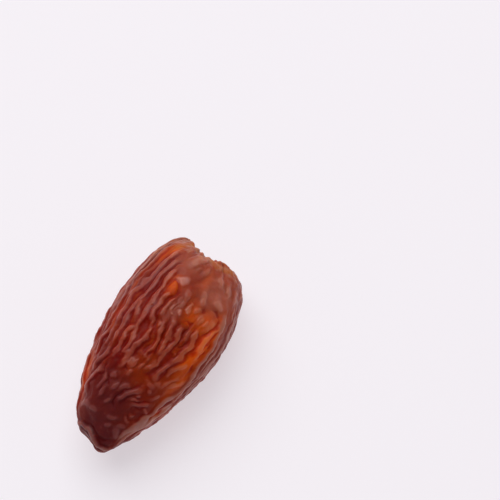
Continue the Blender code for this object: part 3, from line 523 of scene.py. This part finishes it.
def far_folds():
    """Rows of folds on the flanks that the listed ones leave, each row broken into several folds."""
    draw = np.random.default_rng(FAR_SEED)
    folds = []
    step = (FAR_TO - FAR_FROM) / (FAR_ROWS - 1)
    for row in range(FAR_ROWS):
        turn = FAR_FROM + step * row
        start = FAR_TIP + draw.uniform(*FAR_STAGGER[row % 2])
        wave, phase = draw.uniform(*FAR_WAVE), draw.uniform(0.0, 2 * np.pi)
        while start < FAR_STEM - FAR_LEAST:
            end = min(start + draw.uniform(*FAR_BREAK), FAR_STEM + draw.uniform(*FAR_END_PLAY))
            x = np.arange(start, end, FAR_POINT_STEP)
            drift = draw.uniform(-1.0, 1.0) * step * FAR_DRIFT
            wander = FAR_WANDER * np.sin(2 * np.pi * x / wave + phase)
            wander = wander + draw.normal(0.0, FAR_JITTER, len(x))
            turns = turn + wander + drift * (x - start) / (end - start)
            if len(x) > 2:
                folds.append(list(zip(x, turns)))
            start = end + FAR_GAP
    return folds


def notches(body):
    """Short grooves across the rim, unevenly spaced, which leave the torn skin in lobes."""
    draw = np.random.default_rng(FAR_SEED + 1)
    grooves = []
    for k in range(NOTCHES):
        turn = 360.0 * (k + draw.uniform(-NOTCH_SPACING_PLAY, NOTCH_SPACING_PLAY)) / NOTCHES
        start = body.rim - NOTCH_OUT * draw.uniform(*NOTCH_OUT_PLAY)
        end = body.rim + NOTCH_IN * draw.uniform(*NOTCH_IN_PLAY)
        lean = draw.uniform(-NOTCH_LEAN, NOTCH_LEAN)
        grooves.append([(start, turn), (body.rim, turn + lean * NOTCH_LEAN_AT_RIM), (end, turn + lean)])
    return grooves


def raised(points, lines, size, play):
    """Height that the lines raise: a flat-topped bell of the distance to each, merged where they meet.

    play is the share of the half width that counts at each point.
    """
    height, half_width = size
    total = np.zeros(len(points))
    for line, share in lines:
        low, high = line.min(axis=0) - 3 * half_width, line.max(axis=0) + 3 * half_width
        near = np.flatnonzero(((points > low) & (points < high)).all(axis=1))
        if not len(near):
            continue
        here, width = points[near], half_width * play[near]
        best = np.zeros(len(near))
        for a, b, share_a, share_b in zip(line[:-1], line[1:], share[:-1], share[1:]):
            along = b - a
            t = np.clip((here - a) @ along / (along @ along), 0.0, 1.0)
            away = ((here - a - t[:, None] * along) ** 2).sum(axis=1)
            rise = (share_a + (share_b - share_a) * t) * np.exp(-((away / width**2) ** FLAT_TOP))
            best = np.maximum(best, rise)
        total[near] += best**MERGE_POWER
    return height * total ** (1 / MERGE_POWER)


def waves(points, seed, count, lengths):
    """Smooth lumps between -1 and 1: the mean of plane waves in drawn directions, scaled up."""
    draw = np.random.default_rng(seed)
    directions = draw.normal(size=(count, 3))
    directions /= np.linalg.norm(directions, axis=1, keepdims=True)
    numbers = 2 * np.pi / draw.uniform(*lengths, count)
    phases = draw.uniform(0, 2 * np.pi, count)
    total = sum(np.cos(points @ d * n + p) for d, n, p in zip(directions, numbers, phases))
    return np.tanh(total / math.sqrt(count) * WAVE_GAIN)


def spots(x, side, places):
    """The strongest of some bells, each wide along and across by its own two numbers."""
    bells = [
        strength * np.exp(-(((x - at) / wide) ** 2) - ((side - across) / broad) ** 2)
        for at, across, wide, broad, strength in places
    ]
    return np.max(bells, axis=0)


def crinkled(points, side):
    """The points moved a little by lumps of two sizes, so that folds drawn there get crinkled edges."""
    share = 1 - spots(points[:, 0], side, CALM_SPOTS)
    moved = points.copy()
    for seed, reach, lengths in CRINKLES:
        for axis in range(3):
            moved[:, axis] += reach * share * waves(points, seed + axis, CRINKLE_WAVES, lengths)
    return moved


def fine_folds(points, turn):
    """Hair-fine wrinkles along the fruit, strong in patches, and small pimples.

    A wrinkle is a sharp-topped wave of the turn, 1 - |sin|, bent aside by lumps of two sizes.
    """
    bend = sum(
        reach * waves(points, FINE_SEED + k, CRINKLE_WAVES, lengths)
        for k, (reach, lengths) in enumerate(FINE_BENDS)
    )
    tops = 1 - np.abs(np.sin(np.radians(turn) * FINE_FOLDS / 2 + bend))
    lumps = waves(points, FINE_PATCH_SEED, FINE_PATCH_WAVES, FINE_PATCH_LENGTHS)
    patch = smooth_step(*FINE_PATCH_SPAN, lumps) * smooth_step(*FINE_FROM, points[:, 0])
    pimples = PIMPLE_HEIGHT * waves(points, PIMPLE_SEED, PIMPLE_WAVES, PIMPLE_LENGTHS)
    return FINE_HEIGHT * patch * (tops**FINE_SHARPNESS - FINE_LEVEL) + pimples


def side_of(turn):
    """Degrees from the listed folds' middle line, from -180 to 180."""
    return (turn - SEEN_TURN + 180) % 360 - 180


def relief(body, along, turn, points):
    """Height of the skin over the body in millimetres, and the masks that colours follow.

    Folds raise the skin; creases, notches and the grooves along folds sink it.
    """
    kinds = [
        (EDGE_FOLDS, EDGE_SIZE, True, 0.6),
        (LONG_FOLDS, LONG_SIZE, True, 1.0),
        (far_folds(), FAR_SIZE, True, 1.0),
        (BROAD_FOLDS, BROAD_SIZE, True, 0.3),
        (SHORT_FOLDS, SHORT_SIZE, True, 0.5),
        (PINCHES, PINCH_SIZE, True, 0.3),
        (TIP_FOLDS, TIP_SIZE, False, 0.8),
    ]  # the last number is how clear the groove along each fold is
    side = side_of(turn)
    drawn = crinkled(points, side)
    play = 1 + WIDTH_PLAY * waves(points, WIDTH_SEED, CRINKLE_WAVES, WIDTH_LENGTHS)
    rises, tops, skirts = [], [], []
    for folds, (fold_height, half_width), from_x, clear in kinds:
        lines = lines_on_body(body, folds, from_x)
        tops.append(raised(drawn, lines, (1.0, half_width), play))
        skirts.append(clear * raised(drawn, lines, (1.0, FOOT_WIDTH * half_width), play))
        rises.append(fold_height * tops[-1])
    folds = sum(rise**MERGE_POWER for rise in rises) ** (1 / MERGE_POWER)
    folds = folds * (1 - CALM_FLATTENS * spots(points[:, 0], side, CALM_SPOTS))
    outline_tops = np.maximum(tops[0], TIP_SHEEN_SHARE * tops[-1])
    tops = np.max(tops, axis=0)
    foot = smooth_step(*FOOT_FROM, np.max(skirts, axis=0) - tops)
    crease_lines = lines_on_body(body, CREASES) + lines_on_body(body, [TIP_CREASE], False)
    creases = raised(drawn, crease_lines, CREASE_SIZE, play)
    grooves = raised(drawn, lines_on_body(body, notches(body), False), NOTCH_SIZE, play)
    lumps = LUMP_HEIGHT * waves(points, LUMP_SEED, LUMP_WAVES, LUMP_LENGTHS)
    height = folds - creases - grooves - FOOT_DEPTH * foot + lumps
    torn = smooth_step(body.rim + TORN_FROM, body.rim + TORN_FULL, along)
    height = height + fine_folds(points, turn) * (1 - torn)
    shreds = waves(points, TORN_SEED, TORN_WAVES, TORN_LENGTHS)
    height = height * (1 - TORN_SOFTENS * torn) + TORN_HEIGHT * torn * shreds
    above = points[:, 2] - points[:, 2].min()
    height = height * (UNDERSIDE_RELIEF + (1 - UNDERSIDE_RELIEF) * smooth_step(*UNDERSIDE_FADE, above))
    height = height * smooth_step(0.0, POLE_FADE, along)
    height = height * smooth_step(0.0, POLE_FADE, body.length - along)
    past = along - body.rim + RIM_STRAY * waves(points, RIM_SEED, MASK_WAVES, RIM_STRAY_LENGTHS)
    sunk = (creases + NOTCH_SHARE * grooves) / CREASE_SIZE[0]
    masks = {
        "rim": smooth_step(*RIM_BAND_OUT, past) * smooth_step(*RIM_BAND_IN, past),
        # crest: where the ridge tones go, the crests' bloom and a painted sheen
        "crest": smooth_step(*CREST_SPAN, tops),
        # edge: the edge fold's top and the tip's folds, which get paler skin and painted sheen
        "edge": smooth_step(*EDGE_SHEEN_SPAN, outline_tops),
        # crease: where the valley tones go, darker as painted shade in the creases and along the folds' feet
        "crease": np.maximum(foot, smooth_step(*CREASE_SPAN, sunk)),
        "torn": torn,
    }
    return height, masks


def skin_masks(body, along, turn, points):
    """Where the skin is dark (at the tip, and as painted shade on the flanks), loose, orange (its own
    patches, and painted glow where thin flesh looks lit through), with painted glow near the rim, or with
    painted highlights, by where it is seen.
    """
    side = side_of(turn)
    x = points[:, 0] + SEEN_LEAN * body.radius(points[:, 0]) * np.maximum(np.cos(np.radians(side)), 0.0)
    stray = waves(points, STRAY_SEED, MASK_WAVES, STRAY_LENGTHS)
    patch = waves(points, PATCH_SEED, MASK_WAVES, PATCH_LENGTHS)
    unseen = UNSEEN_SHARE * smooth_step(*UNSEEN_FROM, np.abs(side))
    reach = DARK_REACH - DARK_BEND * np.minimum(np.abs(side - DARK_MIDDLE), DARK_MOST_ASIDE) ** 2
    dark = smooth_step(reach + DARK_BLUR, reach - DARK_BLUR, x + DARK_STRAY * stray)
    # painted shade on the flanks, on top of the darker tip
    dark = np.maximum(dark, spots(x, side, PAINTED_SHADE_SPOTS))
    flank = smooth_step(*FLANK_PAST_EDGE, side - np.interp(x, *np.transpose(EDGE_FOLDS[0])))
    flank = FLANK_SHARE * flank * smooth_step(*FLANK_TO, side) * smooth_step(*FLANK_FROM, x)
    loose = unseen * smooth_step(*LOOSE_PATCH_SPAN, patch) * smooth_step(*UNSEEN_LOOSE_FROM, x)
    loose = np.maximum(spots(x, side, LOOSE_SPOTS), np.maximum(flank, loose))
    # orange: painted glow at the listed spots, and the skin's own orange patches on the unseen flanks
    amber_and_glow = np.maximum(spots(x, side, AMBER_GLOW_SPOTS), unseen * smooth_step(*AMBER_PATCH_SPAN, -patch))
    # painted glow near the rim
    honey_glow = spots(x, side, HONEY_GLOW_SPOTS)
    glint = spots(x, side, GLINT_SPOTS)
    return {"dark": dark, "loose": loose, "amber_and_glow": amber_and_glow, "honey_glow": honey_glow, "glint": glint}


def closed_faces(count, around, copies=1):
    """Faces of tubes of count rings of around points, each closed at both ends by a fan round one point.

    A tube's points are its start, its rings one after the other, and its end.
    """
    size = count * around + 2
    index = 1 + np.arange(count * around).reshape(count, around)
    beside = np.roll(index, -1, axis=1)
    quads = np.stack([index[:-1], beside[:-1], beside[1:], index[1:]], axis=-1).reshape(-1, 4)
    first = np.stack([np.zeros(around, int), beside[0], index[0]], axis=-1)
    last = np.stack([np.full(around, size - 1), index[-1], beside[-1]], axis=-1)
    fans = np.concatenate([first, last])
    start = size * np.arange(copies)[:, None, None]
    return (quads + start).reshape(-1, 4).tolist() + (fans + start).reshape(-1, 3).tolist()


def smooth_mesh(name, points, faces):
    mesh = bpy.data.meshes.new(name)
    mesh.from_pydata(points.tolist(), [], faces)
    mesh.update()
    mesh.shade_smooth()
    return mesh


def under_middle(low, high):
    """The point on the bottom of a box, under its middle."""
    return np.array([(low[0] + high[0]) / 2, (low[1] + high[1]) / 2, low[2]])


class Lie:
    """How the fruit rests: pitched, pressed flat at its lowest part, and fitted to the frame's date."""

    def __init__(self, skin):
        pitched = self.pitched(skin)
        self.bottom = under_middle(pitched.min(axis=0), pitched.max(axis=0)) + (0, 0, PRESS)
        pressed = self.pressed(skin)
        low, high = pressed.min(axis=0), pressed.max(axis=0)
        box_low, box_high = (np.array(corner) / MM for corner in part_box("date"))
        self.fit = np.minimum((box_high - box_low) / (high - low), 1.0)
        self.held, self.home = under_middle(low, high), under_middle(box_low, box_high)

    def pitched(self, points):
        x, y, z = np.moveaxis(points, -1, 0)
        cos, sin = math.cos(PITCH), math.sin(PITCH)
        return np.stack([x * cos - z * sin, y, x * sin + z * cos], axis=-1)

    def pressed(self, points):
        """What would be under the floor comes up to it.

        z becomes half the sum of z and the root of z^2 + SAG_ROUND^2.
        """
        down = self.pitched(points) - self.bottom
        down[..., 2] = (down[..., 2] + np.sqrt(down[..., 2] ** 2 + SAG_ROUND**2)) / 2
        return down

    def place(self, points):
        """The points, given in the fruit's own millimetres, where they lie in the frame, in metres."""
        return ((self.pressed(points) - self.held) * self.fit + self.home) * MM


def date_skin():
    """The fruit: grid of along and turn, body, relief along the body's outward direction, set down.

    Gives the mesh, and the lie that other pieces take too.
    """
    body = Body()
    along = np.linspace(0.0, body.length, ROWS)[1:-1]
    round_angle = np.linspace(-np.pi, np.pi, ROUND, endpoint=False)
    turn = np.degrees(round_angle - MORE_ON_TOP * np.sin(round_angle)) + SEEN_TURN
    along, turn = (grid.ravel() for grid in np.meshgrid(along, turn, indexing="ij"))
    along = np.concatenate([[0.0], along, [body.length]])
    turn = np.concatenate([[0.0], turn, [0.0]])
    points = body.point(along, turn)
    height, masks = relief(body, along, turn, points)
    masks.update(skin_masks(body, along, turn, points))
    skin = points + body.normal(along, turn) * height[:, None]
    lie = Lie(skin)
    mesh = smooth_mesh("date_fine", lie.place(skin), closed_faces(ROWS - 2, ROUND))
    for name, values in masks.items():
        mesh.attributes.new(name, "FLOAT", "POINT").data.foreach_set("value", values.astype(np.float32))
    return mesh, lie


def stalk_fibres(lie):
    """Fibres that the stalk left: each a tube on a curve of three points, thinner towards its end.

    The curve is (1-t)^2 root + 2t(1-t) bend + t^2 end, with a slow waver added that is nothing at the
    root. Its rings stand square to it.
    """
    draw = np.random.default_rng(FIBRE_SEED)
    turns = np.radians(draw.uniform(*FIBRE_TURNS, FIBRES))
    twist = np.radians(draw.uniform(*FIBRE_TWIST, (3, FIBRES))) * FIBRE_TWIST_SHARES
    x = np.stack([draw.uniform(*span, FIBRES) for span in FIBRE_X])
    out = np.stack([draw.uniform(*span, FIBRES) for span in FIBRE_OUT])
    knots = np.stack([x, -out * np.sin(turns + twist), out * np.cos(turns + twist)], axis=-1)
    t = np.linspace(0.0, 1.0, FIBRE_STEPS)[:, None, None]
    curves = knots[0] * (1 - t) ** 2 + 2 * knots[1] * t * (1 - t) + knots[2] * t**2
    flat = curves.reshape(-1, 3)
    waver = np.stack([
        waves(flat, FIBRE_SEED + axis, FIBRE_WAVER_WAVES, FIBRE_WAVER_LENGTHS) for axis in range(3)
    ], axis=-1)
    curves = curves + FIBRE_WAVER * t * waver.reshape(curves.shape)
    ahead = np.gradient(curves, axis=0)
    ahead /= np.linalg.norm(ahead, axis=-1, keepdims=True)
    aside = np.cross(ahead, FIBRE_ACROSS)
    aside /= np.linalg.norm(aside, axis=-1, keepdims=True)
    over = np.cross(ahead, aside)
    angle = np.linspace(0, 2 * np.pi, FIBRE_SIDES, endpoint=False)[:, None]
    thick = draw.uniform(*FIBRE_THICKNESS, FIBRES)[:, None] * (1 - (1 - FIBRE_TIP_SHARE) * t) / 2
    around = aside[:, :, None] * np.cos(angle) + over[:, :, None] * np.sin(angle)
    rings = (curves[:, :, None] + thick[..., None] * around).swapaxes(0, 1).reshape(FIBRES, -1, 3)
    tubes = np.concatenate([curves[0][:, None], rings, curves[-1][:, None]], axis=1)
    faces = closed_faces(FIBRE_STEPS, FIBRE_SIDES, FIBRES)
    return smooth_mesh("stalk_fibres", lie.place(tubes.reshape(-1, 3)), faces)


def colour(screen):
    """Scene colour of a screen colour given from 0 to 255, by the standard screen curve."""
    screen = np.array(screen) / 255
    linear = np.where(screen <= 0.04045, screen / 12.92, ((screen + 0.055) / 1.055) ** 2.4)
    return (*linear.tolist(), 1.0)


class Nodes:
    """A material's node tree, or a group's, with short calls for the nodes that the finishes use."""

    def __init__(self, tree):
        self.tree = tree

    def feed(self, socket, value):
        """Link the socket to a node's output, or set it to a number or a colour."""
        if isinstance(value, bpy.types.NodeSocket):
            self.tree.links.new(value, socket)
        else:
            socket.default_value = value

    def put(self, kind, inputs=(), **settings):
        node = self.tree.nodes.new(kind)
        for name, value in settings.items():
            setattr(node, name, value)
        for socket, value in dict(inputs).items():
            self.feed(node.inputs[socket], value)
        return node

    def attribute(self, name):
        return self.put("ShaderNodeAttribute", attribute_name=name).outputs["Fac"]

    def noise(self, place, scale, detail, roughness=0.5):
        inputs = {"Vector": place, "Scale": scale, "Detail": detail, "Roughness": roughness}
        return self.put("ShaderNodeTexNoise", inputs).outputs["Fac"]

    def blend(self, share, first, second):
        """Mix of two colours; share is a socket or a number."""
        node = self.put("ShaderNodeMix", data_type="RGBA")
        for number, value in ((0, share), (6, first), (7, second)):
            self.feed(node.inputs[number], value)
        return node.outputs[2]

    def span(self, value, low, high, to_low=0.0, to_high=1.0):
        """Value from low to high mapped smoothly to a new range."""
        inputs = {0: value, 1: low, 2: high, 3: to_low, 4: to_high}
        return self.put("ShaderNodeMapRange", inputs, interpolation_type="SMOOTHSTEP").outputs[0]

    def pattern(self, place, scale, detail, *limits):
        """One of the noise patterns."""
        return self.span(self.noise(place, scale, detail), *limits)

    def math(self, operation, first, second):
        return self.put("ShaderNodeMath", {0: first, 1: second}, operation=operation).outputs[0]

    def times(self, first, second):
        return self.math("MULTIPLY", first, second)


def grain_group():
    """Effect that both finishes share: grain as a value, and the normal of it and a stretched noise."""
    group = bpy.data.node_groups.new("fine_grain", "ShaderNodeTree")
    for name, kind, way in (
        ("Place", "Vector", "INPUT"), ("Scale", "Float", "INPUT"), ("Distance", "Float", "INPUT"),
        ("Grain", "Float", "OUTPUT"), ("Normal", "Vector", "OUTPUT"),
    ):
        group.interface.new_socket(name, in_out=way, socket_type="NodeSocket" + kind)
    nodes = Nodes(group)
    given = nodes.put("NodeGroupInput").outputs
    grain = nodes.noise(given["Place"], GRAIN_SCALE, GRAIN_DETAIL, GRAIN_ROUGHNESS)
    inputs = {"Vector": given["Place"], "Scale": CREPE_STRETCH}
    stretched = nodes.put("ShaderNodeMapping", inputs).outputs[0]
    crepe = nodes.noise(stretched, given["Scale"], CREPE_DETAIL, CREPE_ROUGHNESS)
    height = nodes.math("ADD", nodes.times(crepe, CREPE_SHARE), nodes.times(grain, GRAIN_SHARE))
    inputs = {"Strength": BUMP_STRENGTH, "Distance": given["Distance"], "Height": height}
    bump = nodes.put("ShaderNodeBump", inputs)
    nodes.put("NodeGroupOutput", {"Grain": grain, "Normal": bump.outputs["Normal"]})
    return group


def new_material(name, constants):
    """A material with those constants on its shader's sockets. Gives it, the shader and its nodes."""
    material = bpy.data.materials.new(name)
    material.use_nodes = True
    shader = material.node_tree.nodes["Principled BSDF"]
    for socket, value in constants.items():
        shader.inputs[socket].default_value = value
    return material, shader, Nodes(material.node_tree)


def fibre_finish(fine_grain):
    """Dry pale straw, darker in streaks."""
    material, shader, nodes = new_material("stalk_fibre_dry", FIBRE_SHADER)
    place = nodes.put("ShaderNodeTexCoord").outputs["Object"]
    fine = nodes.put("ShaderNodeGroup", {"Place": place, **FIBRE_GRAIN}, node_tree=fine_grain)
    straw = nodes.blend(fine.outputs["Grain"], colour(STRAW_COLOUR), colour(STRAW_PALE_COLOUR))
    straw = nodes.blend(nodes.pattern(place, *STREAKS), straw, colour(STREAK_COLOUR))
    nodes.feed(shader.inputs["Base Color"], straw)
    nodes.feed(shader.inputs["Normal"], fine.outputs["Normal"])
    return material


def date_finish(fine_grain):
    """Waxy skin: layers of colour for valleys, flat skin and ridges, blended by the relief's masks; valleys
    darker with painted shade, ridges paler with their bloom and painted sheen.
    """
    material, shader, nodes = new_material("date_skin_waxy", SKIN_SHADER)
    place = nodes.put("ShaderNodeTexCoord").outputs["Object"]
    crest, edge, crease, torn, rim = map(nodes.attribute, ("crest", "edge", "crease", "torn", "rim"))
    names = ("dark", "loose", "amber_and_glow", "honey_glow", "glint")
    dark, loose, amber_and_glow, honey_glow, glint = map(nodes.attribute, names)
    fine = nodes.put("ShaderNodeGroup", {"Place": place, **SKIN_GRAIN}, node_tree=fine_grain)

    orange = nodes.pattern(place, *ORANGE_PATCHES)
    layers = []
    for tones in (VALLEY_RED_AND_SHADE, FLAT, RIDGE_BLOOM_AND_SHEEN):
        layer = nodes.blend(orange, colour(tones["red"]), colour(tones["orange"]))
        # orange: painted glow at the spots, the skin's own patches elsewhere
        layer = nodes.blend(amber_and_glow, layer, colour(tones["orange"]))
        layer = nodes.blend(dark, layer, colour(tones["brown"]))
        layers.append(nodes.blend(loose, layer, colour(tones["pale"])))
    valley, flat, ridge = layers
    # paler ridge tone on the crests: their own bloom, and painted sheen
    skin = nodes.blend(nodes.times(crest, RIDGE_BLOOM_AND_SHEEN_SHARE), flat, ridge)
    # darker valley tone in the creases and along the folds' feet: the flesh's deeper red, and painted shade
    skin = nodes.blend(crease, skin, valley)
    # Over the skin: paler skin and painted sheen on the edge fold, painted highlights on some crests, painted
    # glow near the rim, and freckles of the skin's own
    for share, over in (
        (nodes.times(edge, EDGE_SHEEN_SHARE), EDGE_SHEEN_COLOUR),
        (nodes.times(nodes.times(glint, crest), GLINT_SHARE), GLINT_COLOUR),
        (nodes.times(honey_glow, HONEY_GLOW_SHARE), HONEY_GLOW_COLOUR),
        (nodes.pattern(place, *FRECKLES), FRECKLE_COLOUR),
    ):
        skin = nodes.blend(share, skin, colour(over))

    golden = nodes.pattern(place, *GOLDEN_PATCHES)
    frayed = nodes.blend(golden, colour(FRAYED_COLOUR), colour(GOLDEN_COLOUR))
    skin = nodes.blend(nodes.times(rim, nodes.pattern(place, *TATTERS)), skin, frayed)
    # painted sheen: paler where the skin turns away from the view
    grazing_sheen = nodes.span(nodes.put("ShaderNodeLayerWeight").outputs["Facing"], *GRAZING_SHEEN_SPAN)
    skin = nodes.blend(grazing_sheen, skin, colour(GRAZING_SHEEN_COLOUR))

    flesh = nodes.pattern(place, *FLESH_LUMPS)
    flesh = nodes.blend(flesh, colour(FLESH_COLOUR), colour(FLESH_LUMP_COLOUR))
    flesh = nodes.blend(nodes.pattern(place, *FLESH_SCRAPS), flesh, colour(FLESH_SCRAP_COLOUR))
    nodes.feed(shader.inputs["Base Color"], nodes.blend(torn, skin, flesh))

    rough = nodes.span(fine.outputs["Grain"], *ROUGH)
    rough = nodes.math("SUBTRACT", rough, nodes.times(torn, TORN_WET))
    nodes.feed(shader.inputs["Roughness"], rough)
    wax = nodes.math("MAXIMUM", nodes.span(crest, *WAX), nodes.times(loose, LOOSE_WAX))
    nodes.feed(shader.inputs["Coat Weight"], nodes.times(wax, nodes.span(dark, *DARK_WAX)))
    nodes.feed(shader.inputs["Normal"], fine.outputs["Normal"])
    return material


def placed(name, data):
    """A new object of the scene, at the origin."""
    made = bpy.data.objects.new(name, data)
    bpy.context.scene.collection.objects.link(made)
    return made


def floor():
    """Plain pale surface that the fruit lies on."""
    mesh = bpy.data.meshes.new("pale_floor")
    corners = FLOOR_HALF * np.array([(-1, -1, 0), (1, -1, 0), (1, 1, 0), (-1, 1, 0)])
    mesh.from_pydata(corners.tolist(), [], [(0, 1, 2, 3)])
    mesh.materials.append(new_material("pale_matt", FLOOR_SHADER)[0])
    surface = placed("pale_floor", mesh)


def window_light():
    """Square soft light that looks at the origin."""
    data = bpy.data.lights.new("window", "AREA")
    data.shape = "SQUARE"
    data.size = LIGHT_SIDE
    data.energy = LIGHT_POWER
    towards = Vector(LIGHT_FROM).normalized()
    turned = towards.to_track_quat("Z", "Y").to_matrix().to_4x4()
    placed("window", data).matrix_world = Matrix.Translation(towards * LIGHT_AWAY) @ turned


def studio():
    """A pale room that glows more near the floor than overhead, plain behind the fruit, and one window."""
    world = bpy.data.worlds.new("pale_room")
    bpy.context.scene.world = world
    world.use_nodes = True
    nodes = Nodes(world.node_tree)
    way = nodes.put("ShaderNodeTexCoord").outputs["Generated"]
    height = nodes.put("ShaderNodeSeparateXYZ", {"Vector": way}).outputs["Z"]
    sky = nodes.blend(nodes.span(height, *ROOM_SPAN), ROOM_LOW, ROOM_HIGH)
    looked_at = nodes.put("ShaderNodeLightPath").outputs["Is Camera Ray"]
    sky = nodes.blend(looked_at, sky, BACKDROP)
    nodes.feed(world.node_tree.nodes["Background"].inputs["Color"], sky)
    window_light()
    bpy.context.scene.view_settings.view_transform = "Standard"


def photo_camera():
    """Camera at the photograph's angle, set so that the fruit's box middle falls on its pixel there."""
    right = Vector((math.cos(AZIMUTH), math.sin(AZIMUTH), 0))
    back = Vector((
        math.sin(AZIMUTH) * math.cos(ELEVATION),
        -math.cos(AZIMUTH) * math.cos(ELEVATION),
        math.sin(ELEVATION),
    ))
    up = back.cross(right)
    low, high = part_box("date")
    pixel = MM / PIXELS_PER_MM
    aim = (low + high) / 2
    aim += right * (PHOTO_SIDE / 2 - FRUIT_MIDDLE[0]) * pixel
    aim -= up * (PHOTO_SIDE / 2 - FRUIT_MIDDLE[1]) * pixel
    data = bpy.data.cameras.new("photo_camera")
    data.lens = LENS
    data.sensor_width = SENSOR
    data.clip_start = NEAREST_SEEN
    camera = placed("photo_camera", data)
    distance = LENS / SENSOR * PHOTO_SIDE * pixel
    turned = Matrix((right, up, back)).transposed().to_4x4()
    camera.matrix_world = Matrix.Translation(aim + back * distance) @ turned
    bpy.context.scene.camera = camera


def piece(name, mesh):
    """A piece of the fruit, which moves with it."""
    made = placed(name, mesh)
    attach(made, "root")
    return made


def main():
    grain = grain_group()
    skin, lie = date_skin()
    skin.materials.append(date_finish(grain))
    date = piece("date_fine", skin)
    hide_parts("date")
    fibres = stalk_fibres(lie)
    fibres.materials.append(fibre_finish(grain))
    piece("stalk_fibres", fibres)
    floor()
    studio()
    photo_camera()


main()
